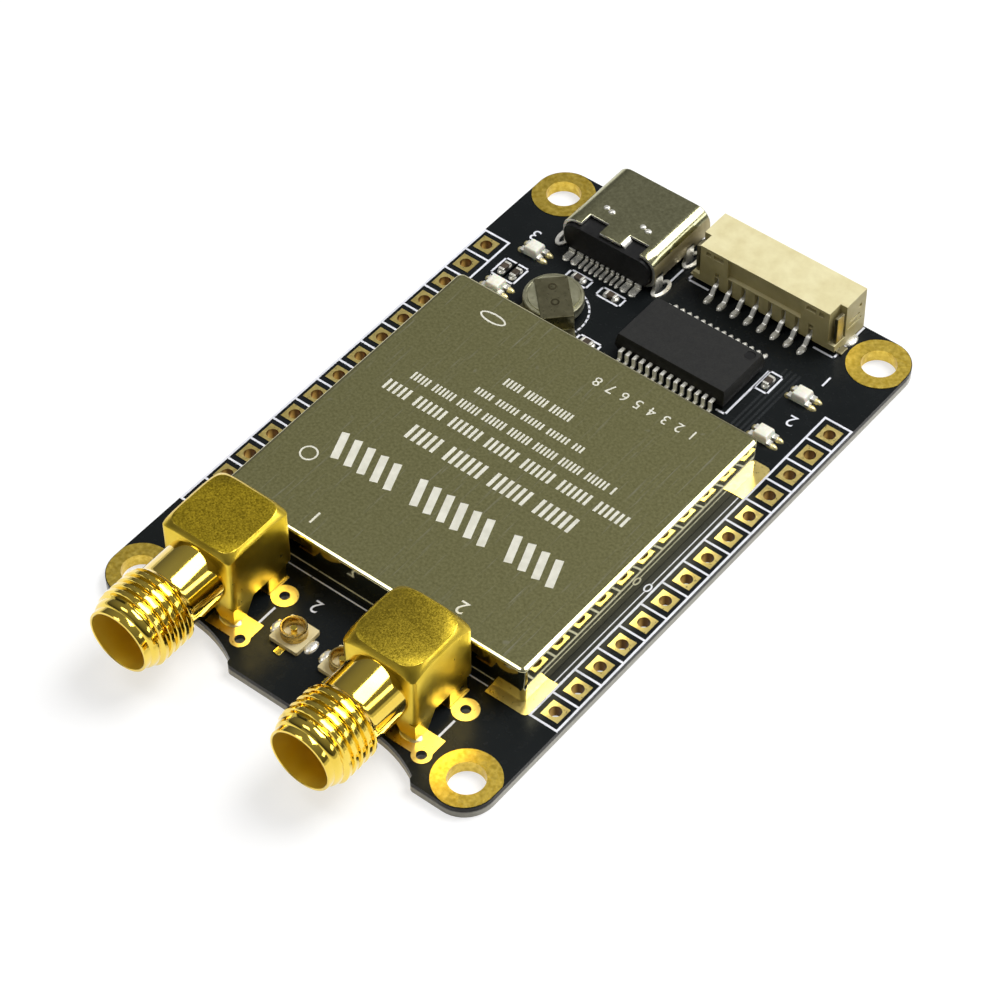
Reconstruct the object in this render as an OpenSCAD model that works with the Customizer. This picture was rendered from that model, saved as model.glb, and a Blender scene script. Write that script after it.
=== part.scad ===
// Satellite receiver board: a shielded receiver with two coaxial antenna sockets,
// a plug socket, a wire socket and two rows of plated pads.
// Millimetres, +Z up. The origin is the middle of the underside, +Y is the plug end.

/* [Board] */
// Width across the two rows of pads
board_w = 35; // [34.8:0.2:38]
// Length from the antenna end to the plug end
board_l = 54.8; // [54:0.2:58]
// Thickness of the bare board
board_t = 1; // [0.8:0.1:2]
// Radius of the board's corners
board_r = 2.5; // [1.5:0.1:3]
// Thickness of the gold pads
pad_t = 0.05; // [0.03:0.01:0.1]
// Wall of the gold plating inside a hole
plate_w = 0.1; // [0.05:0.05:0.2]

/* [Mounting holes] */
// Clear bore of a mounting hole
hole_d = 2.8; // [2.2:0.1:3.2]
// Diameter of the gold ring round a mounting hole
ring_d = 5.1; // [4.2:0.1:5.2]
// Distance from the long edge to a hole's centre
hole_in_x = 2.42; // [2.3:0.02:2.6]
// Distance from the short edge to a hole's centre
hole_in_y = 2.62; // [2.6:0.02:3]

/* [Pad rows] */
// Plated pads in each row
row_n = 14; // [8:1:14]
// Spacing of the pads along a row
row_pitch = 2.54; // [2:0.01:2.54]
// Distance from the long edge to a row
row_in = 1.19; // [1.1:0.01:1.3]
// Side of a square pad
row_pad = 1.5; // [1.4:0.1:1.7]
// Clear bore of a pad's hole
row_hole = 0.95; // [0.6:0.05:1]

/* [Shield can] */
// Distance from the left long edge to the can
can_left = 3.72; // [3.2:0.02:4]
// Distance from the right long edge to the can
can_right = 3.28; // [3.2:0.02:4]
// Gap between the can and the antenna sockets
can_gap = 0.6; // [0.4:0.05:1]
// Gap between the can and the interface chip's leads
can_ic_gap = 2.05; // [1:0.05:3]
// Height of the can above its pads
can_h = 3.5; // [3:0.1:4]
// Thickness of the can's sheet
can_wall = 0.2; // [0.15:0.05:0.3]
// Plan radius of the can's corners
can_r = 0.5; // [0.4:0.1:1]
// Radius of the can's top edges
can_edge = 0.3; // [0.2:0.05:0.35]
// Length of each leg of a corner pad
can_pad_l = 2.9; // [2:0.1:3]
// Width of a corner pad outside the can
can_pad_w = 0.75; // [0.5:0.05:0.8]

/* [Plug socket] */
// Width of the socket's shell
usb_w = 8.94; // [8.8:0.02:9.1]
// Height of the socket's shell
usb_h = 3.2; // [3.1:0.05:3.4]
// Depth of the socket's shell
usb_l = 7.2; // [7:0.1:7.5]
// Thickness of the shell's sheet
usb_wall = 0.3; // [0.2:0.05:0.3]
// Middle of the socket across the board
usb_x = -7.3; // [-7.4:0.05:-7.2]
// Reach of the socket past the board's edge
usb_out = 0.2; // [0:0.05:0.5]
// Thickness of the tongue
tongue_t = 0.7; // [0.6:0.05:0.8]

/* [Wire socket] */
// Contacts in the wire socket
wire_n = 8; // [6:1:8]
// Spacing of the contacts
wire_pitch = 1.25; // [1.2:0.01:1.27]
// Height of the housing
wire_h = 4.05; // [3.9:0.05:4.5]
// Depth of the housing
wire_l = 4; // [3.8:0.05:4.2]
// Middle of the housing across the board
wire_x = 5.24; // [5:0.02:5.5]
// Width of the housing past its last contact
wire_end = 2.25; // [2.1:0.05:2.3]

/* [Interface chip] */
// Leads on each side of the chip
ic_n = 14; // [10:1:14]
// Spacing of the leads
ic_pitch = 0.65; // [0.5:0.05:0.65]
// Length of the chip's body
ic_l = 10.2; // [9.6:0.1:10.4]
// Width of the chip's body
ic_w = 5.3; // [5:0.1:5.6]
// Height of the chip's top above the board
ic_h = 1.85; // [1.6:0.05:2.2]
// Middle of the chip across the board
ic_x = 3.6; // [3.4:0.05:3.8]
// Gap between the chip's leads and the wire socket's leads
ic_gap = 1.95; // [1:0.05:3]

/* [Backup cell] */
// Diameter of the cell
cell_d = 4.8; // [4.4:0.1:5]
// Height of the cell's case
cell_h = 1.4; // [1:0.1:1.8]
// Distance from the left long edge to the cell's middle
cell_in = 9.5; // [9:0.05:10]
// Gap between the can and the cell
cell_gap = 1.7; // [1.4:0.05:2]
// Width of the welded strip
strip_w = 2.6; // [2:0.1:3]
// Thickness of the welded strip
strip_t = 0.12; // [0.1:0.01:0.2]

/* [Indicator lamps] */
// Length of a lamp
led_l = 2; // [1.6:0.1:2.2]
// Width of a lamp
led_w = 1.25; // [1:0.05:1.4]
// Height of a lamp's lens
led_h = 0.8; // [0.6:0.05:1.1]

/* [Antenna sockets] */
// Spacing of the two sockets
sma_gap = 16.6; // [16.4:0.1:17]
// Middle of the pair across the board
sma_mid = -1.2; // [-1.3:0.05:-1.1]
// Side of the socket's block
sma_block = 6.5; // [6:0.1:6.6]
// Height of the socket's axis above the board
sma_axis = 3.7; // [3.5:0.05:4]
// Distance from the board's edge to the block's middle
sma_in = 6.15; // [6.05:0.05:6.2]
// Diameter of the plain neck
neck_d = 5.4; // [5:0.1:6]
// Length of the plain neck
neck_l = 3.4; // [3:0.1:4]
// Outside diameter of the threaded length
thread_d = 6.35; // [6:0.05:6.35]
// Length of the threaded part
thread_l = 3.6; // [3:0.1:4.5]
// Length of the plain lip at the mouth
lip_l = 1.2; // [1:0.1:2]
// Outside diameter of the lip at its end
lip_d = 5.3; // [5:0.1:5.6]
// Clear bore of the mouth
mouth_d = 4.6; // [4.2:0.1:4.8]
// Depth of the mouth
mouth_l = 4; // [3:0.1:5]
// Diameter of the centre contact
contact_d = 1.27; // [1:0.01:1.4]
// Height of the block's underside above the board
sma_under = 1.4; // [1.2:0.1:1.6]
// Thickness of a leg
leg_d = 0.9; // [0.7:0.05:1]

/* [Small antenna sockets] */
// Side of the small socket's base
ufl_base = 2.6; // [2.4:0.1:2.6]
// Outside diameter of the small socket's ring
ufl_d = 2; // [1.8:0.05:2.1]
// Height of the small socket's ring
ufl_h = 1.25; // [1:0.05:1.4]
// Distance from the board's edge to the small sockets
ufl_in = 4.8; // [4.6:0.05:5]

/* [Hidden] */
$fn = 48;
fit = 0.1;
e = 0.01;
top = board_t;
pad_top = board_t + pad_t;
hole_x = board_w / 2 - hole_in_x;
hole_y = board_l / 2 - hole_in_y;
row_x = board_w / 2 - row_in;
sma_y = -board_l / 2 + sma_in;
sma_left = sma_mid - sma_gap / 2;
sma_right = sma_mid + sma_gap / 2;
sma_top = sma_axis + sma_block / 2;
// Front legs taper down from the block's corners, the rear feet are short walls
leg_w = 1.3;
leg_x = sma_block / 2 - leg_w / 2;
foot_l = 2;
foot_y = sma_block / 2 - 0.75 - foot_l / 2;
leg_hole = leg_d + 2 * fit;
pin_d = 0.9;
aux_hole = 0.8;
// Spare plated holes right of each antenna socket, from the socket's middle: x, y, ring
aux = [[4.2, 1.05, 2.05], [4.3, -3.9, 1.5]];
notch_w = 9.8;
notch_d = 1.85;
notch_r = (notch_w * notch_w / 4 + 1.35 * 1.35) / 2.7;
usb_rear = board_l / 2 + usb_out - usb_l;
usb_r = 1.35;
wire_w = (wire_n - 1) * wire_pitch + 2 * wire_end;
wire_front = board_l / 2;
wire_rear = wire_front - wire_l;
wire_slot = 0.4;
wire_z = 1.75;
wire_foot = 1.3;
ic_reach = 1.25;
ic_y = wire_rear - wire_foot - ic_gap - ic_reach - ic_w / 2;
can_far = ic_y - ic_w / 2 - ic_reach - can_ic_gap;
can_near = -board_l / 2 + sma_in + sma_block / 2 + can_gap;
can_w = board_w - can_left - can_right;
can_l = can_far - can_near;
can_x = (can_left - can_right) / 2;
can_y = (can_far + can_near) / 2;
// Half sizes of the room inside the can, less a margin
room_x = can_w / 2 - can_wall - 0.9;
room_y = can_l / 2 - can_wall - 0.9;
cell_x = -board_w / 2 + cell_in;
cell_y = can_far + cell_gap + cell_d / 2;
ufl_y = -board_l / 2 + ufl_in;
ufl_x = [-2.3, 2.2];
led_x = board_w / 2 - 4.95;
led_at = [
  [led_x, can_far + 8], [led_x, can_far + 3.05],
  [-led_x - 0.3, can_far + 7.9], [-led_x - 0.3, can_far + 3.05]
];
// Small parts on the open board: x, y, turn
small_at = [
  [-board_w / 2 + 3.9, can_far + 5.1, 90], [-board_w / 2 + 5, can_far + 5.1, 90],
  [usb_x - 1.05, usb_rear - 2.4, 0], [usb_x + 2.1, usb_rear - 2.4, 0],
  [ic_x + ic_l / 2 + 0.9, ic_y + 1.85, 90], [cell_x + 4.4, can_far + 2.6, 0]
];

// Plate with round corners, middle of its base at the origin
module plate(w, l, r, h) {
  translate([-w / 2, -l / 2 + r, 0]) cube([w, l - 2 * r, h]);
  translate([-w / 2 + r, -l / 2, 0]) cube([w - 2 * r, l, h]);
  for (sx = [-1, 1]) for (sy = [-1, 1])
    translate([sx * (w / 2 - r), sy * (l / 2 - r), 0]) cylinder(r = r, h = h);
}

// Plate on edge: round corners in X and Z, extruded along Y
module tube_form(w, h, r, l) {
  translate([0, l, h / 2]) rotate([90, 0, 0]) plate(w, h, r, l);
}

// Block with round upright corners and round top edges, base middle at the origin
module soft_block(w, l, h, r, edge) {
  intersection() {
    plate(w, l, r, h);
    translate([0, -l, -h]) tube_form(w, 2 * h, edge, 2 * l);
    rotate([0, 0, 90]) translate([0, -w, -h]) tube_form(l, 2 * h, edge, 2 * w);
  }
}

module box(x0, x1, y0, y1, z0, z1) {
  translate([x0, y0, z0]) cube([x1 - x0, y1 - y0, z1 - z0]);
}

module at_holes() {
  for (sx = [-1, 1]) for (sy = [-1, 1]) translate([sx * hole_x, sy * hole_y, 0]) children();
}

module at_row(sx) {
  for (i = [0 : row_n - 1])
    translate([sx * row_x, (i - (row_n - 1) / 2) * row_pitch, 0]) children();
}

module at_antennas() {
  for (x = [sma_left, sma_right]) translate([x, sma_y, 0]) children();
}

module at_legs() {
  for (sx = [-1, 1]) for (y = [-leg_x, foot_y]) translate([sx * leg_x, y, 0]) children();
}

module at_aux() {
  for (a = aux) translate([a[0], a[1], 0]) children();
}

module outline(inset, z, h) {
  translate([0, 0, z]) plate(board_w - 2 * inset, board_l - 2 * inset, board_r - inset, h);
}

// Ring of a mounting hole, kept inside the board's outline
module mount_ring(z) {
  intersection() {
    at_holes() translate([0, 0, z]) cylinder(d = ring_d, h = pad_t);
    outline(0.06, z, pad_t);
  }
}

module row_square(z) {
  translate([-row_pad / 2, -row_pad / 2, z]) cube([row_pad, row_pad, pad_t]);
}

// Shallow bow cut into the edge under an antenna socket, for the mating nut
module nut_notch() {
  y0 = -board_l / 2;
  intersection() {
    translate([0, y0 + notch_d - notch_r, -1]) cylinder(r = notch_r, h = board_t + 2, $fn = 96);
    box(-notch_w / 2, notch_w / 2, y0 - 1, y0 + notch_d + 1, -1, board_t + 1);
  }
  for (s = [-1, 1]) difference() {
    translate([s * notch_w / 2 - 0.4, y0 - e, -1]) cube([0.8, 0.4 + e, board_t + 2]);
    translate([s * (notch_w / 2 + 0.4), y0 + 0.4, -2]) cylinder(r = 0.4, h = board_t + 4);
  }
}

module stake_at(y) {
  for (s = [-1, 1]) translate([usb_x + s * (usb_w - usb_wall) / 2, y, 0]) children();
}

module board() color("#1c1e22") difference() {
  outline(0, 0, board_t);
  for (x = [sma_left, sma_right]) translate([x, 0, 0]) nut_notch();
  at_holes() translate([0, 0, -1]) cylinder(d = hole_d + 2 * plate_w, h = board_t + 2);
  for (s = [-1, 1]) at_row(s) translate([0, 0, -1])
    cylinder(d = row_hole + 2 * plate_w, h = board_t + 2);
  mount_ring(0);
  for (s = [-1, 1]) at_row(s) row_square(0);
  at_antennas() {
    at_legs() translate([0, 0, -1]) cylinder(d = leg_hole, h = board_t + 2);
    translate([0, 0, -1]) cylinder(d = pin_d + 2 * fit, h = board_t + 2);
    at_aux() translate([0, 0, -1]) cylinder(d = aux_hole, h = board_t + 2);
  }
  for (y = [usb_rear + 0.6, usb_rear + 4.6]) stake_at(y)
    translate([-usb_wall / 2 - fit, -0.6, -1]) cube([usb_wall + 2 * fit, 1.2, board_t + 2]);
}

module mount_eyelets() color("#c9a648") difference() {
  union() {
    mount_ring(top);
    mount_ring(0);
    at_holes() cylinder(d = hole_d + 2 * plate_w, h = pad_top);
  }
  at_holes() translate([0, 0, -1]) cylinder(d = hole_d, h = board_t + 3);
}

module row_eyelets(s) color("#c9a648") at_row(s) difference() {
  union() {
    row_square(top);
    row_square(0);
    cylinder(d = row_hole + 2 * plate_w, h = pad_top);
  }
  translate([0, 0, -1]) cylinder(d = row_hole, h = board_t + 3);
}

module row_eyelets_left() { row_eyelets(-1); }

module row_eyelets_right() { row_eyelets(1); }

// Corner pad with its outer corner rounded, from the can's corner towards +X and +Y
module corner_pad() {
  under = 0.4;
  round_r = 0.4;
  out = can_pad_w;
  difference() {
    union() {
      box(-can_pad_l, out, -under, out, 0, pad_t);
      box(-under, out, -can_pad_l, out, 0, pad_t);
    }
    translate([out - round_r, out - round_r, -1]) difference() {
      cube([1, 1, 3]);
      translate([0, 0, -1]) cylinder(r = round_r, h = 5);
    }
  }
}

// Corner pads under the can, and the pads and spare rings of the antenna sockets
module ground_pads() color("#c9a648") {
  for (sx = [0, 1]) for (sy = [0, 1]) translate([can_x, can_y, top])
    mirror([sx, 0, 0]) mirror([0, sy, 0]) translate([can_w / 2, can_l / 2, 0]) corner_pad();
  difference() {
    at_antennas() {
      for (s = [-1, 1]) translate([s * leg_x, foot_y, top]) plate(leg_w + 0.2, foot_l + 0.2, 0.1, pad_t);
      box(-leg_x - leg_w / 2 - 0.2, -1.2, -4.15, -1.95, top, pad_top);
      box(1.2, aux[1][0] + 0.55, -4.15, -1.95, top, pad_top);
      for (a = aux) translate([a[0], a[1], top]) cylinder(d = a[2], h = pad_t);
    }
    at_antennas() {
      at_legs() cylinder(d = leg_hole, h = board_t + 2);
      at_aux() cylinder(d = aux_hole, h = board_t + 2);
    }
    at_holes() cylinder(d = ring_d + 2 * fit, h = board_t + 2);
  }
}

module shield_can() color("#8d8a72") translate([can_x, can_y, pad_top]) difference() {
  soft_block(can_w, can_l, can_h, can_r, can_edge);
  translate([-can_w / 2 + can_wall, -can_l / 2 + can_wall, -1])
    cube([can_w - 2 * can_wall, can_l - 2 * can_wall, can_h - can_wall + 1]);
}

// Flat chip package inside the can
module package(x, y, w, l, h) {
  translate([can_x + x, can_y + y, top]) soft_block(w, l, h, 0.1, 0.08);
}

module receiver_chip() color("#2a2a2c") package(0, 2, 11, 11, 1.1);

module memory_chip() color("#2a2a2c") package(room_x - 2, room_y - 2.5, 4, 5, 0.8);

module clock_oscillator() color("#b8b4a4") package(room_x - 1.25, 1.5, 2.5, 3.2, 1);

module band_filters() color("#b8b4a4")
  for (x = [-8, 8]) for (dx = [-1.6, 1.6]) package(x + dx, -9.5, 1.4, 2, 0.6);

module regulator_chip() color("#2a2a2c") package(1.5 - room_x, room_y - 1.5, 3, 3, 1);

module power_coil() color("#55524e") package(1.5 - room_x, 3.2, 3, 3, 1.5);

module inner_capacitors() color("#9a7f5e") {
  for (i = [-3 : 3]) package(i * 1.5, -5.2, 0.5, 1, 0.5);
  for (i = [-3 : 3]) package(i * 1.5, 9.4, 0.5, 1, 0.5);
}

module plug_shell() color("#a09c8c") translate([usb_x, 0, 0]) {
  difference() {
    translate([0, usb_rear, top]) tube_form(usb_w, usb_h, usb_r, usb_l);
    translate([0, usb_rear - 1, top + usb_wall])
      tube_form(usb_w - 2 * usb_wall, usb_h - 2 * usb_wall, usb_r - usb_wall, usb_l + 2);
    for (s = [-1, 1])
      box(s * 1.9 - 0.9, s * 1.9 + 0.9, usb_rear + 0.35, usb_rear + 1.3,
        top + usb_h - 2 * usb_wall, top + usb_h + 1);
  }
  for (y = [usb_rear + 0.6, usb_rear + 4.6]) for (s = [-1, 1])
    translate([s * (usb_w - usb_wall) / 2 - usb_wall / 2, y - 0.5, 0])
      cube([usb_wall, 1, top + usb_h / 2]);
}

module plug_insulator() color("#1b1b1c") translate([usb_x, 0, 0]) {
  zm = top + usb_h / 2;
  h = usb_h - 2 * usb_wall;
  gap = fit / 2;
  translate([0, usb_rear - 0.35, top + usb_wall + gap])
    tube_form(usb_w - 2 * usb_wall - 2 * gap, h - 2 * gap, usb_r - usb_wall - gap, 2.75);
  box(-3.35, 3.35, usb_rear + 2.2, usb_rear + usb_l - 0.7, zm - tongue_t / 2, zm + tongue_t / 2);
  box(-3.6, 3.6, usb_rear - 0.35, usb_rear - e, top, top + usb_h / 2);
}

// Soldered tails behind the socket and the contact strips on its tongue
module plug_contacts() color("#c8c4b4") translate([usb_x, 0, 0]) {
  zm = top + usb_h / 2;
  for (s = [-1, 1]) {
    for (x = [0.25, 0.75, 1.25, 1.75]) tail(s * x, 0.3);
    for (x = [2.4, 3.2]) tail(s * x, 0.6);
    for (i = [0 : 5]) for (u = [-1, 1]) {
      z = u > 0 ? zm + tongue_t / 2 : zm - tongue_t / 2 - 0.05;
      box(s * (0.25 + i * 0.5) - 0.12, s * (0.25 + i * 0.5) + 0.12,
        usb_rear + 2.4, usb_rear + usb_l - 1.2, z, z + 0.05);
    }
  }
}

module tail(x, w) {
  y = usb_rear - 0.35;
  box(x - w / 2, x + w / 2, y - 0.95, y, top, top + 0.15);
  box(x - w / 2, x + w / 2, y - 0.15, y, top, top + 0.45);
}

module wire_housing() color("#e8deb0") translate([wire_x, 0, top]) difference() {
  translate([0, wire_rear, 0]) box(-wire_w / 2, wire_w / 2, 0, wire_l, 0, wire_h);
  // Mouth for the plug
  box(-wire_w / 2 + 0.9, wire_w / 2 - 0.9, wire_rear + 1.1, wire_front + 1, 0.75, wire_h - 0.6);
  // Latch slot above the mouth
  box(-wire_w / 2 + 3, wire_w / 2 - 3, wire_front - 1.6, wire_front + 1, wire_h - 1, wire_h - 0.25);
  // Recess along the rear face
  box(-wire_w / 2 + 2.9, wire_w / 2 - 2.9, wire_rear - 1, wire_rear + 0.55, 1.5, wire_h - 0.45);
  // Small square windows beside the recess
  for (s = [-1, 1]) for (d = [0.95, 2])
    box(s * (wire_w / 2 - d) - 0.3, s * (wire_w / 2 - d) + 0.3, wire_rear - 1, wire_rear + 0.4,
      wire_h - 0.95, wire_h - 0.6);
  // Slots for the leads
  for (i = [0 : wire_n - 1])
    translate([(i - (wire_n - 1) / 2) * wire_pitch, wire_rear, 0]) {
      box(-wire_slot / 2, wire_slot / 2, -1, 0.45, -1, wire_z + 0.2);
      box(-wire_slot / 2, wire_slot / 2, 0, 1.2, wire_z - 0.2, wire_z + 0.2);
    }
  // Slots for the metal tabs
  for (s = [-1, 1])
    translate([s * (wire_w / 2 - 0.25) - 0.35, wire_rear + 0.25, -1]) cube([0.7, 1, wire_h + 0.6]);
}

// Each contact: a soldered foot, a riser in the rear face and a pin through to the mouth
module wire_contacts() color("#c8c4b4") translate([wire_x, wire_rear, top])
  for (i = [0 : wire_n - 1]) translate([(i - (wire_n - 1) / 2) * wire_pitch, 0, 0]) {
    w = wire_slot - fit;
    box(-w / 2, w / 2, 0, 0.4, 0, wire_z + 0.15);
    box(-w / 2, w / 2, -wire_foot, 0.4, 0, 0.25);
    box(-w / 2, w / 2, 0, 3.3, wire_z - 0.15, wire_z + 0.15);
  }

module wire_tabs() color("#c8c4b4") translate([wire_x, wire_rear, top]) for (s = [-1, 1]) {
  translate([s * (wire_w / 2 - 0.2) - 0.15, 0.3, 0]) cube([0.3, 0.9, wire_h - 0.5]);
  translate([s * (wire_w / 2 + 0.15) - 0.35, 0.3, 0]) cube([0.7, 0.9, 0.2]);
}

module interface_chip() color("#2b2b2c") translate([ic_x, ic_y, top]) difference() {
  translate([0, 0, 0.1]) soft_block(ic_l, ic_w, ic_h - 0.1, 0.05, 0.04);
  translate([ic_l / 2 - 0.85, ic_w / 2 - 0.85, ic_h - 0.06]) cylinder(d = 0.9, h = 1);
}

module interface_leads() color("#c8c4b4") translate([ic_x, ic_y, top])
  for (s = [-1, 1]) for (i = [0 : ic_n - 1])
    translate([(i - (ic_n - 1) / 2) * ic_pitch - 0.15, 0, 0]) mirror([0, s > 0 ? 0 : 1, 0]) {
      translate([0, ic_w / 2, 0.75]) cube([0.3, 0.55, 0.18]);
      translate([0, ic_w / 2 + 0.4, 0]) cube([0.3, 0.18, 0.93]);
      translate([0, ic_w / 2 + 0.4, 0]) cube([0.3, ic_reach - 0.4, 0.18]);
    }

module backup_cell() color("#8f8c7e") translate([cell_x, cell_y, top + 0.2]) {
  cylinder(d = cell_d, h = cell_h - 0.3);
  translate([0, 0, cell_h - 0.3]) cylinder(d = cell_d - 0.3, h = 0.1);
}

// Strip welded across the cell's top, bent down to the board
module cell_strip() color("#8f8c7e") translate([cell_x, cell_y, top]) rotate([0, 0, -45]) {
  z = cell_h;
  x = cell_d / 2 + 0.2;
  box(-x + 0.85, x, -strip_w / 2, strip_w / 2, z, z + strip_t);
  box(x - strip_t, x, -strip_w / 2, strip_w / 2, 0, z + strip_t);
  box(x - strip_t, x + 0.8, -strip_w / 2, strip_w / 2, 0, strip_t);
}

// Lower strip under the cell
module cell_foot() color("#8f8c7e") translate([cell_x, cell_y, top])
  box(0.5 - strip_w, 0.5, -cell_d / 2 - 0.9, cell_d / 2 - 1.6, 0, 0.2);

module lamp_bases() color("#c8c4b4") for (p = led_at) translate([p[0], p[1], top]) {
  box(-led_l / 2, led_l / 2, -led_w / 2, led_w / 2, 0, 0.3);
}

module lamp_lenses() color("#f2eee0") for (p = led_at) translate([p[0], p[1], top + 0.3])
  soft_block(led_l * 0.62, led_w, led_h - 0.3, 0.1, 0.08);

module chip_parts() color("#4a4038") for (p = small_at) translate([p[0], p[1], top])
  rotate([0, 0, p[2]]) box(-0.28, 0.28, -0.25, 0.25, 0, 0.34);

module chip_caps() color("#c8c4b4") for (p = small_at) translate([p[0], p[1], top])
  rotate([0, 0, p[2]]) for (s = [-1, 1])
    box(s > 0 ? 0.28 : -0.5, s > 0 ? 0.5 : -0.28, -0.25, 0.25, 0, 0.35);

// Tapered leg at the block's front right corner
module front_leg() {
  h = sma_under - pad_t + 0.2;
  translate([leg_w / 2, -leg_w / 2, pad_top]) intersection() {
    rotate([90, 0, 180]) linear_extrude(height = 2 * leg_w)
      polygon([[0, 0], [leg_w, 0], [leg_w + 0.9, h], [0, h]]);
    rotate([90, 0, -90]) linear_extrude(height = 2 * leg_w)
      polygon([[0, 0], [-leg_w, 0], [-leg_w - 0.9, h], [0, h]]);
  }
}

// Rear foot, a short wall down to the board, flush with the block's side
module rear_foot() {
  translate([-leg_w / 2, -foot_l / 2, pad_top]) cube([leg_w - 0.05, foot_l, sma_under]);
}

// Socket body about its block's middle, mouth towards -Y
module antenna_body() color("#d2aa3c") {
  b = sma_block;
  za = top + sma_axis;
  y1 = -b / 2 - neck_l;
  y2 = y1 - thread_l;
  y3 = y2 - lip_l;
  difference() {
    union() {
      translate([0, 0, top + sma_under]) soft_block(b, b, sma_top - sma_under, 1.1, 0.7);
      translate([0, -b / 2 + 1, za]) rotate([90, 0, 0]) cylinder(d = neck_d, h = neck_l + 1.2);
      translate([0, y1, za]) rotate([90, 0, 0]) cylinder(d = thread_d, h = thread_l);
      translate([0, y2, za]) rotate([90, 0, 0]) cylinder(d1 = thread_d - 0.6, d2 = lip_d, h = lip_l);
      for (s = [0, 1]) mirror([s, 0, 0]) {
        translate([leg_x, -leg_x, 0]) front_leg();
        translate([leg_x, foot_y, 0]) rear_foot();
      }
      at_legs() cylinder(d = leg_d, h = pad_top + 0.3);
    }
    // Mouth, insulator bore and the upright bore for the contact's tail
    translate([0, y3 + mouth_l, za]) rotate([90, 0, 0]) cylinder(d = mouth_d, h = mouth_l + 1);
    translate([0, 1.6, za]) rotate([90, 0, 0]) cylinder(d = 4.1, h = 1.6 - y3 - mouth_l + 0.1);
    translate([0, 0, top + 0.5]) cylinder(d = 3, h = sma_axis - 0.5);
  }
}

module antenna_insulator() color("#eeeae0") {
  za = top + sma_axis;
  y3 = -sma_block / 2 - neck_l - thread_l - lip_l;
  difference() {
    union() {
      translate([0, 1.6, za]) rotate([90, 0, 0]) cylinder(d = 4.1, h = 1.6 - y3 - mouth_l);
      translate([0, 0, top + sma_under]) cylinder(d = 3, h = sma_axis - sma_under);
    }
    translate([0, contact_d / 2, za]) rotate([90, 0, 0]) cylinder(d = contact_d, h = 20);
    cylinder(d = pin_d, h = za);
  }
}

// Centre contact: a socket along the axis with its tail down through the board
module antenna_contact() color("#d2aa3c") {
  za = top + sma_axis;
  y3 = -sma_block / 2 - neck_l - thread_l - lip_l;
  difference() {
    union() {
      translate([0, contact_d / 2, za]) rotate([90, 0, 0])
        cylinder(d = contact_d, h = contact_d / 2 - y3 - 1.9);
      cylinder(d = pin_d, h = za);
    }
    translate([0, y3 + 4.5, za]) rotate([90, 0, 0]) cylinder(d = contact_d - 0.4, h = 10);
  }
}

module antenna_left_body() { translate([sma_left, sma_y, 0]) antenna_body(); }

module antenna_left_insulator() { translate([sma_left, sma_y, 0]) antenna_insulator(); }

module antenna_left_contact() { translate([sma_left, sma_y, 0]) antenna_contact(); }

module antenna_right_body() { translate([sma_right, sma_y, 0]) antenna_body(); }

module antenna_right_insulator() { translate([sma_right, sma_y, 0]) antenna_insulator(); }

module antenna_right_contact() { translate([sma_right, sma_y, 0]) antenna_contact(); }

module small_bases() color("#efece2") for (x = ufl_x) translate([x, ufl_y, top]) difference() {
  plate(ufl_base, ufl_base, 0.15, 0.4);
  translate([0, 0, -1]) cylinder(d = 0.5, h = 2);
}

// Ground ring with its two soldered feet
module small_rings() color("#d2aa3c") for (x = ufl_x) translate([x, ufl_y, top]) {
  translate([0, 0, 0.4]) difference() {
    cylinder(d = ufl_d, h = ufl_h - 0.4);
    translate([0, 0, -1]) cylinder(d = ufl_d - 0.4, h = ufl_h + 1);
  }
  for (s = [-1, 1])
    box(s > 0 ? ufl_base / 2 : -ufl_base / 2 - 0.55, s > 0 ? ufl_base / 2 + 0.55 : -ufl_base / 2,
      -0.55, 0.55, 0, 0.12);
}

module small_pins() color("#d2aa3c") for (x = ufl_x) translate([x, ufl_y, top]) {
  cylinder(d = 0.5, h = ufl_h - 0.2);
  box(-0.3, 0.3, -ufl_base / 2 - 0.7, -ufl_base / 2, 0, 0.12);
}

board();
mount_eyelets();
row_eyelets_left();
row_eyelets_right();
ground_pads();
shield_can();
receiver_chip();
memory_chip();
clock_oscillator();
band_filters();
regulator_chip();
power_coil();
inner_capacitors();
plug_shell();
plug_insulator();
plug_contacts();
wire_housing();
wire_contacts();
wire_tabs();
interface_chip();
interface_leads();
backup_cell();
cell_strip();
cell_foot();
lamp_bases();
lamp_lenses();
chip_parts();
chip_caps();
antenna_left_body();
antenna_left_insulator();
antenna_left_contact();
antenna_right_body();
antenna_right_insulator();
antenna_right_contact();
small_bases();
small_rings();
small_pins();
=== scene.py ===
import math

import bmesh
import bpy
from mathutils import Euler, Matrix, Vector


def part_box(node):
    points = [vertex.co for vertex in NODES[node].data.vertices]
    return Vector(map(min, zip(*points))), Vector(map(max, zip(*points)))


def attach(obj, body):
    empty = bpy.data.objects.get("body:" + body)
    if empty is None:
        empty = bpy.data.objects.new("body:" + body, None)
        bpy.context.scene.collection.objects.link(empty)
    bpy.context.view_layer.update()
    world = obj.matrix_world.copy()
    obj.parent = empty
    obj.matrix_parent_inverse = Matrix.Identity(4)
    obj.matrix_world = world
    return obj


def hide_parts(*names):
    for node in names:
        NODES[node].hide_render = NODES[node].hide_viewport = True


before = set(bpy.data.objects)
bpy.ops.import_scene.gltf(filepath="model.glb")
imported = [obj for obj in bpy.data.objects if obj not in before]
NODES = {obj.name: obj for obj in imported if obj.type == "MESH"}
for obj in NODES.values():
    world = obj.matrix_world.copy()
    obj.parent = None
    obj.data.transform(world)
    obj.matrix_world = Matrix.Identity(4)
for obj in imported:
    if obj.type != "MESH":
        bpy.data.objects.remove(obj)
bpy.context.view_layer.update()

# Sizes and places below are in millimetres, in the frame of the CAD model
MM = 0.001


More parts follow.
